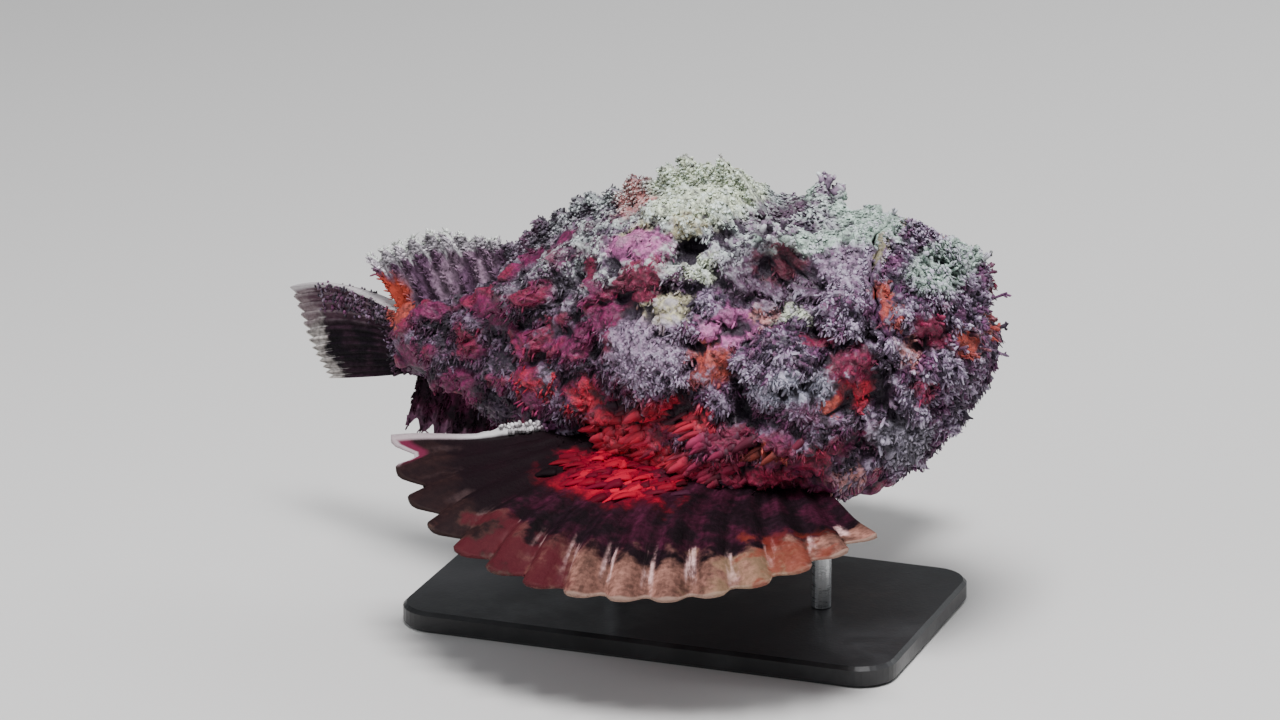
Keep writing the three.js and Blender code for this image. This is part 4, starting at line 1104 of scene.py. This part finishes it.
# The near-black Inner and Middle of the web are partly its own colour and partly painted shade.
breast_palette = {
    "Inner": (0.009, 0.003, 0.006), "Middle": (0.034, 0.005, 0.015), "Band From": 0.74,
    "Band": (0.19, 0.088, 0.068), "Glint": (0.46, 0.28, 0.27), "Rim": (0.30, 0.19, 0.15)}
breast_skin = fin_material("breast_fin_skin", pectoral_rays, breast_palette, breast_markings)
for side_name, side in flanks:
    sheet = fin_piece(
        f"breast_fin_{side_name}", pectoral_rays * 9, 56, pectoral_middle(side),
        pectoral_thickness, breast_skin, "fins", (f"pectoral_fin_{side_name}",), False)
    u, v = sheet["u"], sheet["v"]
    fleshy = (smooth(v, 0.42, 0.26) * smooth(v, 0.06, 0.12) * smooth(u, 0.64, 0.5)
              * smooth(u, 0.18, 0.28))
    bead = (u < 0.008) * smooth(v, 0.55, 0.35) + 1e-9
    tuft_piece(f"coat_breast_fin_{side_name}", dict(
        tongue=on_sheet(sheet, 320, fleshy, 10.0, 2.0, 0.05, flat=0.6, proud=0.5, wild=0.2,
                        trail=1.2),
        knob=on_sheet(sheet, 220, bead, 1.9, 0.95, 0.7),
        twig=on_sheet(sheet, 500, smooth(v, 0.30, 0.12) * ray_share(u, pectoral_rays) + 1e-9,
                      3.0, 0.5)), breast_skin, False)


# The spiny back fin. Thirteen stout spines stand along the back in a ragged web, each wrapped in
# warty skin like the body's and almost lost in the growth.


def upright_fin(name, node_name, rays, rows, root_at, edge_at, finish, slot, notch, web, ridge,
                wave=0.0):
    """A fin in the fish's middle plane between a root line and an edge line."""

    def middle(u, v):
        (root_x, root_z), (edge_x, edge_z) = root_at(u), edge_at(u)
        reach = v * (1 - notch * (1 - ray_share(u, rays)) ** 1.5)
        sway = wave * np.sin(2 * math.pi * u * rays / 3) * v
        return np.stack((root_x + (edge_x - root_x) * reach, sway,
                         root_z + (edge_z - root_z) * reach), axis=-1)

    def thickness(u, v):
        return (web + ridge * ray_share(u, rays) ** 2) * (1 - 0.6 * v)

    return fin_piece(name, rays * 10, rows, middle, thickness, finish, slot, (node_name,))


fin_sunk = 6.0
spine_count = 13
spine_height = curve_through((0, 5), (0.12, 9), (0.5, 9), (1, 10))


def spiny_root(u):
    x = 40 - 106 * u
    return x, back_at(x) - fin_sunk


def spiny_edge(u):
    x = 31 - 106 * u
    ragged = 1.6 * np.sin(31 * u) + 1.2 * np.sin(57 * u + 2)
    return x, back_at(x) + spine_height(u) + ragged - 0.8


sheet = upright_fin("spiny_back_fin", "dorsal_fin_spiny", spine_count, 20, spiny_root, spiny_edge,
                    hide, "skin", notch=0.24, web=6.5, ridge=4.0)
spines = on_sheet(sheet, 2100, (sheet["v"] > 0.3) * 1.0, 2.1, 0.5, 0.5)
tuft_piece("coat_spines", dict(
    knob=on_sheet(sheet, 900, (sheet["v"] > 0.5) * 1.0, 1.9, 0.75, 0.5),
    twig=joined([spines, branches(spines, 0.6, 0.6)])))

# The soft back fin behind it. Eight soft rays, furred along their crests, stand in a pale mauve
# web with crusted tips; the last ones carry an orange spot.
soft_palette = {
    "Inner": (0.095, 0.050, 0.088), "Middle": (0.22, 0.145, 0.20), "Band From": 0.78,
    "Band": (0.36, 0.33, 0.36), "Glint": (0.55, 0.52, 0.54), "Rim": (0.62, 0.64, 0.60)}
soft_rays = 8
soft_edge_x = curve_through((0, -79), (1, -144))
soft_edge_z = curve_through((0, 46), (0.45, 48), (1, 36))
soft_root_x = curve_through((0, -71), (1, -125))


def soft_markings(colour, u, v, wander):
    spot = times(ramp(plus(u, wander), 0.83, 0.92), ramp(plus(v, wander), 0.75, 0.55))
    return mixed(spot, colour, tints["orange"])


soft_skin = fin_material("soft_fin_skin", soft_rays, soft_palette, soft_markings)
sheet = upright_fin(
    "soft_back_fin", "dorsal_fin_soft", soft_rays, 32,
    lambda u: (soft_root_x(u), back_at(soft_root_x(u)) - fin_sunk),
    lambda u: (soft_edge_x(u), soft_edge_z(u)), soft_skin, "fins",
    notch=0.12, web=3.0, ridge=2.6, wave=1.0)
on_ray, edgeward = ray_share(sheet["u"], soft_rays) ** 2, smooth(sheet["v"], 0.75, 0.97)
tuft_piece("coat_soft_back_fin", dict(
    knob=on_sheet(sheet, 420, edgeward, 1.9, 0.75, 0.4),
    twig=on_sheet(sheet, 1500, on_ray * (0.3 + sheet["v"]), 2.7, 0.5, 0.3, 0.8)),
    soft_skin)

# The anal fin. Eight dark rays hang under the root of the tail in a web of their own colour, with
# fringes of growth along them.
anal_palette = dict(soft_palette, Inner=(0.012, 0.004, 0.009), Middle=(0.050, 0.008, 0.026),
                    Band=(0.075, 0.030, 0.055), Glint=(0.11, 0.05, 0.08), Rim=(0.14, 0.08, 0.11))
anal_rays = 8
anal_edge_x = curve_through((0, -74), (1, -134))
anal_edge_z = curve_through((0, -44), (0.5, -45), (1, -36))
anal_root_x = curve_through((0, -62), (1, -120))
anal_skin = fin_material("anal_fin_skin", anal_rays, anal_palette)
sheet = upright_fin(
    "anal_fin_dressed", "anal_fin", anal_rays, 32,
    lambda u: (anal_root_x(u), belly_at(anal_root_x(u)) + fin_sunk),
    lambda u: (anal_edge_x(u), anal_edge_z(u)), anal_skin, "fins",
    notch=0.16, web=2.8, ridge=2.4, wave=1.0)
on_ray = ray_share(sheet["u"], anal_rays) ** 2
tuft_piece("coat_anal_fin", dict(
    twig=on_sheet(sheet, 1300, on_ray * (1.2 - sheet["v"]), 2.8, 0.55, 0.35, 0.8)),
    anal_skin)

# The tail fin. Twelve rays in a dark web with a pale rear band trail behind the root of the tail:
# the upper ones are mauve, the longest, and droop at their tips. The web's darkness is partly
# painted shade, and the lighter mauve of the upper rays is partly painted light.
tail_rays = 12
tail_ray_share = curve_through((0, 1.36), (0.3, 1.17), (0.65, 1.0), (1, 0.93))


def tail_middle(u, v):
    root_half, upper, lower, droop = 12.0, math.radians(25), math.radians(-13), 20.0
    angle = upper + (lower - upper) * u
    scallop = 1 - 0.06 * (1 - ray_share(u, tail_rays)) ** 1.5 * v
    reach = tail_fin_length * tail_ray_share(u) * scallop * v
    x = tail_root_x + 2 - reach * np.cos(angle) - 2.3 * v
    rise = reach * np.sin(angle) * (1 - 0.2 * v) - droop * (1 - u) * v * v
    return np.stack((x, 0.9 * np.sin(8 * u) * v, root_half * (1 - 2 * u) + rise), axis=-1)


def tail_thickness(u, v):
    web = np.interp(v, (0, 0.55, 1), (7, 1.3, 0.8))
    return web + 1.9 * ray_share(u, tail_rays) ** 2 * (1 - 0.6 * v)


def tail_markings(colour, u, v, wander):
    """Mauve on the upper rays, which is partly painted light, their crests a little paler, and a pale
    upper rim.
    """
    upper = ramp(plus(u, wander), 0.40, 0.22)
    rib = sums("ABSOLUTE", sums("COSINE", times(u, math.pi * tail_rays)))
    rib = times(ramp(rib, 0.80, 0.97, 0.0, 0.10), upper)
    # The upper rays are painted lighter mauve: partly their own colour, partly painted light on the
    # part that faces up.
    colour = mixed(times(upper, 0.6), colour, (0.12, 0.060, 0.085))
    return mixed(sums("MAXIMUM", rib, ramp(u, 0.03, 0.015)), colour, (0.50, 0.46, 0.47))


# The near-black Inner and Middle of the web are partly its own colour and partly painted shade.
tail_palette = {
    "Inner": (0.007, 0.004, 0.007), "Middle": (0.022, 0.010, 0.017), "Band From": 0.83,
    "Band": (0.34, 0.31, 0.29), "Glint": (0.40, 0.37, 0.36), "Rim": (0.66, 0.63, 0.58)}
tail_skin = fin_material("tail_fin_skin", tail_rays, tail_palette, tail_markings)
sheet = fin_piece("tail_fin_dressed", tail_rays * 12, 44, tail_middle, tail_thickness,
                  tail_skin, "fins", ("tail_fin",))
crusted = smooth(sheet["u"], 0.34, 0.16) * smooth(sheet["v"], 0.85, 0.5)
tuft_piece("coat_tail_root", dict(
    knob=on_sheet(sheet, 700, crusted, 1.5, 0.75, 0.35, 0.8, 0.4),
    twig=on_sheet(sheet, 520, smooth(sheet["v"], 0.24, 0.06) + 1e-9, 2.6, 0.5)))

# The belly fins. Six rays each, laid back under the belly between the breast fins and coloured like
# them.
pelvic_rays = 6
pelvic_length = 46.0


def pelvic_middle(side):
    def middle(u, v):
        reach = pelvic_length * (1 - 0.1 * (1 - ray_share(u, pelvic_rays)) * v) * v
        angle = math.radians(4) + math.radians(20) * u
        x = 30 - 22 * u - reach * np.cos(angle)
        y = side * (14 + 16 * u + reach * np.sin(angle))
        z = -48 - 17 * np.minimum(1, v * 2.2) + 3 * v
        return np.stack((x, y, z), axis=-1)

    return middle


def pelvic_thickness(u, v):
    return 4 - 2.8 * v + 1.7 * ray_share(u, pelvic_rays) ** 2 * (1 - 0.5 * v)


# In the breast fins' palette, whose near-black web is partly painted shade.
pelvic_skin = fin_material("pelvic_fin_skin", pelvic_rays, breast_palette)
for side_name, side in flanks:
    fin_piece(f"belly_fin_{side_name}", pelvic_rays * 10, 32, pelvic_middle(side),
              pelvic_thickness, pelvic_skin, "fins", (f"pelvic_fin_{side_name}",), False)

# The mouth. Two lips meet in an upturned cleft that runs over the snout and down both cheeks.
# Each lip is a bead drawn out of a ball along the cleft, wrinkled across and set with feelers.


def on_mouth(turn, offset, lift_off):
    """Points of the skin beside the cleft, ahead of it by the offset."""
    place = skin_point(np.full_like(turn, mouth_corner_x), turn)
    for _ in range(6):
        place = skin_point(mouth_x(place[:, 2]) + offset, turn, lift_off)
    return place


corner_turn = turn_at_height(mouth_corner_x, mouth_corner_z, left)
lip_end = 1.02
lip_sunk = 1.2
head_middle = np.array([70.0, 0.0, 5.0])


def lip_axes(turn, offset):
    """Middle of the lip at these turns, the way out from the head, and the way across the lip."""
    bit = 0.01
    before, centre, after = (on_mouth(turn + off, offset, -lip_sunk) for off in (-bit, 0, bit))
    forward, outward = unit(after - before), unit(centre - head_middle)
    outward = unit(outward - forward * np.sum(outward * forward, axis=1, keepdims=True))
    return centre, outward, np.cross(forward, outward)


def lip(name, offset, radius, sides=20, steps=150):
    bead = bmesh.new()
    bmesh.ops.create_uvsphere(bead, u_segments=sides, v_segments=steps, radius=1)
    ball_x, ball_y, ball_z = vertex_places(bead).T
    along = 1 - 2 * np.arccos(np.clip(ball_z, -1, 1)) / math.pi
    centre, outward, beside = lip_axes(along * corner_turn * lip_end, offset)
    angle = np.arctan2(ball_y, ball_x)
    taper = np.sqrt(np.clip(1 - abs(along) ** 8, 0, 1))
    wrinkle = 1 + 0.22 * noise_on(centre, 4.0) + 0.07 * np.sin(along * 120 + 2 * np.sin(angle))
    reach = (radius * taper * wrinkle)[:, None]
    points = centre + reach * (np.cos(angle)[:, None] * outward + np.sin(angle)[:, None] * beside)
    make_piece(bead, name, points, hide, "skin", (), False, tip=0.6, luck=0.3, hollow=0.2)


def lip_feelers(offset, radius, count, lean):
    """A row of short feelers along a lip, leaning away from the cleft."""
    turn = draw.uniform(-1, 1, count) * corner_turn * 0.97
    centre, outward, beside = lip_axes(turn, offset)
    lean = lean * draw.uniform(0.2, 1.3, (count, 1))
    normal = unit(outward + lean * beside)
    travel = np.array([travel_to(x) for x in centre[:, 0]])
    spread = np.stack((turn / (2 * math.pi) + 0.5, travel / travels[-1]), axis=-1)
    return batch(
        centre + radius * normal, normal, unit(beside * np.sign(lean) + (0, 0, -0.4)),
        draw.uniform(1.4, 3.2, count), draw.uniform(0.40, 0.66, count),
        draw.uniform(0.4, 0.9, count), centre, spread, np.full(count, -1.2))


lips = (("upper_lip", -1.9, 1.6, -0.7), ("lower_lip", 2.1, 1.9, 0.7))
for name, offset, radius, _ in lips:
    lip(name, offset, radius)
feelers = joined([
    lip_feelers(offset, radius * 0.6, 420, lean) for _, offset, radius, lean in lips])
tuft_piece("coat_lips", dict(knob=feelers, twig=branches(feelers, 0.7, 0.6)), swings=False)

# The eyes. A small dark ball looks out of each knob, ringed by a thick lid, its iris mottled
# maroon round a black pupil under a wet cornea.
eye_radius = 4.8
eye_x, eye_z = 53.0, 51.0
eye_skin, tree, shader = new_material("eye", 0.12, Coat_Weight=1.0, Coat_Roughness=0.03)
gaze = trait(tree, "tip")
flecks = specks(trait(tree, "place"), 0.9)
iris = mixed(ramp(flecks, 0.4, 0.6), (0.05, 0.006, 0.008), (0.20, 0.05, 0.025))
iris = mixed(times(ramp(gaze, 0.20, 0.24), ramp(gaze, 0.30, 0.25)), iris, (0.45, 0.22, 0.06))
iris = mixed(ramp(gaze, 0.21, 0.18), iris, (0.002, 0.002, 0.003))
fill(shader, {"Base Color": mixed(ramp(gaze, 0.48, 0.58), iris, (0.02, 0.008, 0.012))})
for side_name, side in flanks:
    centre = skin_point(eye_x, turn_at_height(eye_x, eye_z, side), -1.6)
    look = unit(np.array([0.1, side, 0.28]))
    turn_to_look = Vector((0, 0, 1)).rotation_difference(Vector(look)).to_matrix()
    turned = np.array(turn_to_look)
    globe = bmesh.new()
    bmesh.ops.create_uvsphere(globe, u_segments=48, v_segments=32, radius=1)
    on_globe = vertex_places(globe)
    cornea = 1 + 0.06 * smooth(on_globe[:, 2], 0.7, 1.0)
    points = centre + eye_radius * cornea[:, None] * (on_globe @ turned.T)
    make_piece(globe, f"eyeball_{side_name}", points, eye_skin, "eyes", (f"eye_{side_name}",), False,
               tip=np.arccos(np.clip(on_globe[:, 2], -1, 1)) / math.pi)
    lid = bmesh.new()
    bmesh.ops.create_circle(lid, segments=16, radius=1)
    bmesh.ops.rotate(lid, verts=lid.verts, matrix=Vector((0, 0, 1)).rotation_difference(
        Vector((0, 1, 0))).to_matrix())
    bmesh.ops.translate(lid, verts=lid.verts, vec=(3, 0, 0))
    bmesh.ops.spin(lid, geom=lid.verts[:] + lid.edges[:], axis=(0, 0, 1), cent=(0, 0, 0),
                   angle=2 * math.pi, steps=56, use_merge=True)
    bmesh.ops.remove_doubles(lid, verts=lid.verts, dist=1e-4)
    lid.verts.index_update()
    ring_x, ring_y, ring_z = vertex_places(lid).T
    turn, out_from_ring = np.arctan2(ring_y, ring_x), np.hypot(ring_x, ring_y) - 3
    width = 2.0 * (1 + 0.18 * np.sin(7 * turn) + 0.10 * np.sin(13 * turn + 1))
    reach = eye_radius + 0.4 + width * out_from_ring
    local = np.stack((reach * np.cos(turn), reach * np.sin(turn), 2.0 + width * ring_z), axis=-1)
    make_piece(lid, f"eyelid_{side_name}", centre + local @ turned.T, hide, "skin", (), False,
               tip=0.7, luck=0.4, hollow=-0.3)

# The nostrils. Two short open tubes of skin stand on the snout, drawn out of a cone whose top is
# inset and sunk.
for side_name, side in flanks:
    tube = bmesh.new()
    bmesh.ops.create_cone(tube, cap_ends=True, segments=24, radius1=1.25, radius2=1.0, depth=1)
    top = max(tube.faces, key=lambda part: part.calc_center_median().z)
    bmesh.ops.inset_region(tube, faces=[top], thickness=0.4)
    top = [part for part in tube.faces if len(part.verts) > 4 and part.calc_center_median().z > 0][0]
    sunken = bmesh.ops.extrude_face_region(tube, geom=[top])
    bmesh.ops.delete(tube, geom=[top], context="FACES_ONLY")
    bmesh.ops.translate(tube, vec=(0, 0, -0.7), verts=[
        part for part in sunken["geom"] if isinstance(part, bmesh.types.BMVert)])
    tube.verts.index_update()
    root = skin_point(80.0, side * 0.32, -0.5)
    points = root + vertex_places(tube) * (2.2, 2.2, 5.5) + (0, 0, 1.5)
    make_piece(tube, f"nostril_{side_name}", points, hide, "skin", (), False, tip=0.6, luck=0.4)

# The stand. A steel plate painted satin black lies on the table, and two brushed steel rods stand
# in it and reach up into the belly.
paint, tree, shader = new_material("satin_black_paint", 0.38)
where = node(tree, "ShaderNodeTexCoord", {}).outputs["Object"]
peel, dust = specks(where, 0.0016, 2.0), specks(where, 0.03, 5.0, 0.65)
fill(shader, {
    "Base Color": mixed(ramp(dust, 0.45, 0.75), (0.012, 0.012, 0.013), (0.03, 0.03, 0.032)),
    "Roughness": ramp(dust, 0.3, 0.7, 0.30, 0.48), "Normal": bump(peel, 0.0002, 0.35)})
steel, tree, shader = new_material("brushed_steel", 0.3, Metallic=1.0)
where = node(tree, "ShaderNodeTexCoord", {}).outputs["Object"]
drawn = derived("ShaderNodeMapping", {"Vector": where, "Scale": (900, 900, 12000)})
strokes = derived("ShaderNodeTexNoise", {"Vector": drawn, "Scale": 0.25, "Detail": 3.0})
fill(shader, {
    "Base Color": mixed(strokes, (0.42, 0.43, 0.44), (0.66, 0.67, 0.68)),
    "Roughness": ramp(strokes, 0.2, 0.8, 0.22, 0.42), "Normal": bump(strokes, 0.00005, 0.4)})
for name, finish in (("stand_base", paint), ("stand_rod_1", steel), ("stand_rod_2", steel)):
    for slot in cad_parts[name].material_slots:
        slot.material = finish

# The table, the lamps and the camera, which stand for the room.
bpy.ops.mesh.primitive_plane_add(size=14)
table = bpy.context.object
table.name = "table"
matte, tree, shader = new_material("pale_table", 0.9, Base_Color=(0.72, 0.71, 0.69))
table.data.materials.append(matte)

world = bpy.data.worlds.new("studio")
bpy.context.scene.world = world
world.use_nodes = True
fill(world.node_tree.nodes["Background"], {"Color": (0.85, 0.88, 0.92), "Strength": 0.30})


def lamp(name, place, size, power, colour=(1, 1, 1)):
    light = bpy.data.lights.new(name, "AREA")
    light.size, light.energy, light.color = size, power, colour
    holder = bpy.data.objects.new(name, light)
    bpy.context.collection.objects.link(holder)
    holder.location = place
    aim = Vector((0, 0, 0.11)) - Vector(place)
    holder.rotation_euler = aim.to_track_quat("-Z", "Y").to_euler()


lamp("key", (0.20, -0.50, 1.50), 0.5, 34, (0.99, 0.98, 1.0))
lamp("fill", (-0.9, -1.3, 0.8), 1.2, 7, (0.92, 0.95, 1.0))
lamp("rim", (0.5, 1.2, 1.0), 0.9, 10, (0.95, 0.97, 1.0))

azimuth, elevation = math.radians(20), math.radians(18)
toward_camera = Vector((
    math.sin(azimuth) * math.cos(elevation), -math.cos(azimuth) * math.cos(elevation),
    math.sin(elevation)))
camera_right = Vector((math.cos(azimuth), math.sin(azimuth), 0))
camera_up = toward_camera.cross(camera_right)
photo_width, photo_height = 1280, 720
fish_px, fish_py = 687, 350
mm_per_pixel = 0.404
aim = Vector((0, 0, axis_height * mm))
aim -= camera_right * (fish_px - photo_width / 2) * mm_per_pixel * mm
aim -= camera_up * (photo_height / 2 - fish_py) * mm_per_pixel * mm
camera_distance, film_width = 2.4, 36
camera_data = bpy.data.cameras.new("camera")
camera_data.sensor_width = film_width
camera_data.lens = film_width * camera_distance / (photo_width * mm_per_pixel * mm)
camera = bpy.data.objects.new("camera", camera_data)
bpy.context.collection.objects.link(camera)
camera.location = aim + toward_camera * camera_distance
camera.rotation_euler = (-toward_camera).to_track_quat("-Z", "Y").to_euler()
bpy.context.scene.camera = camera
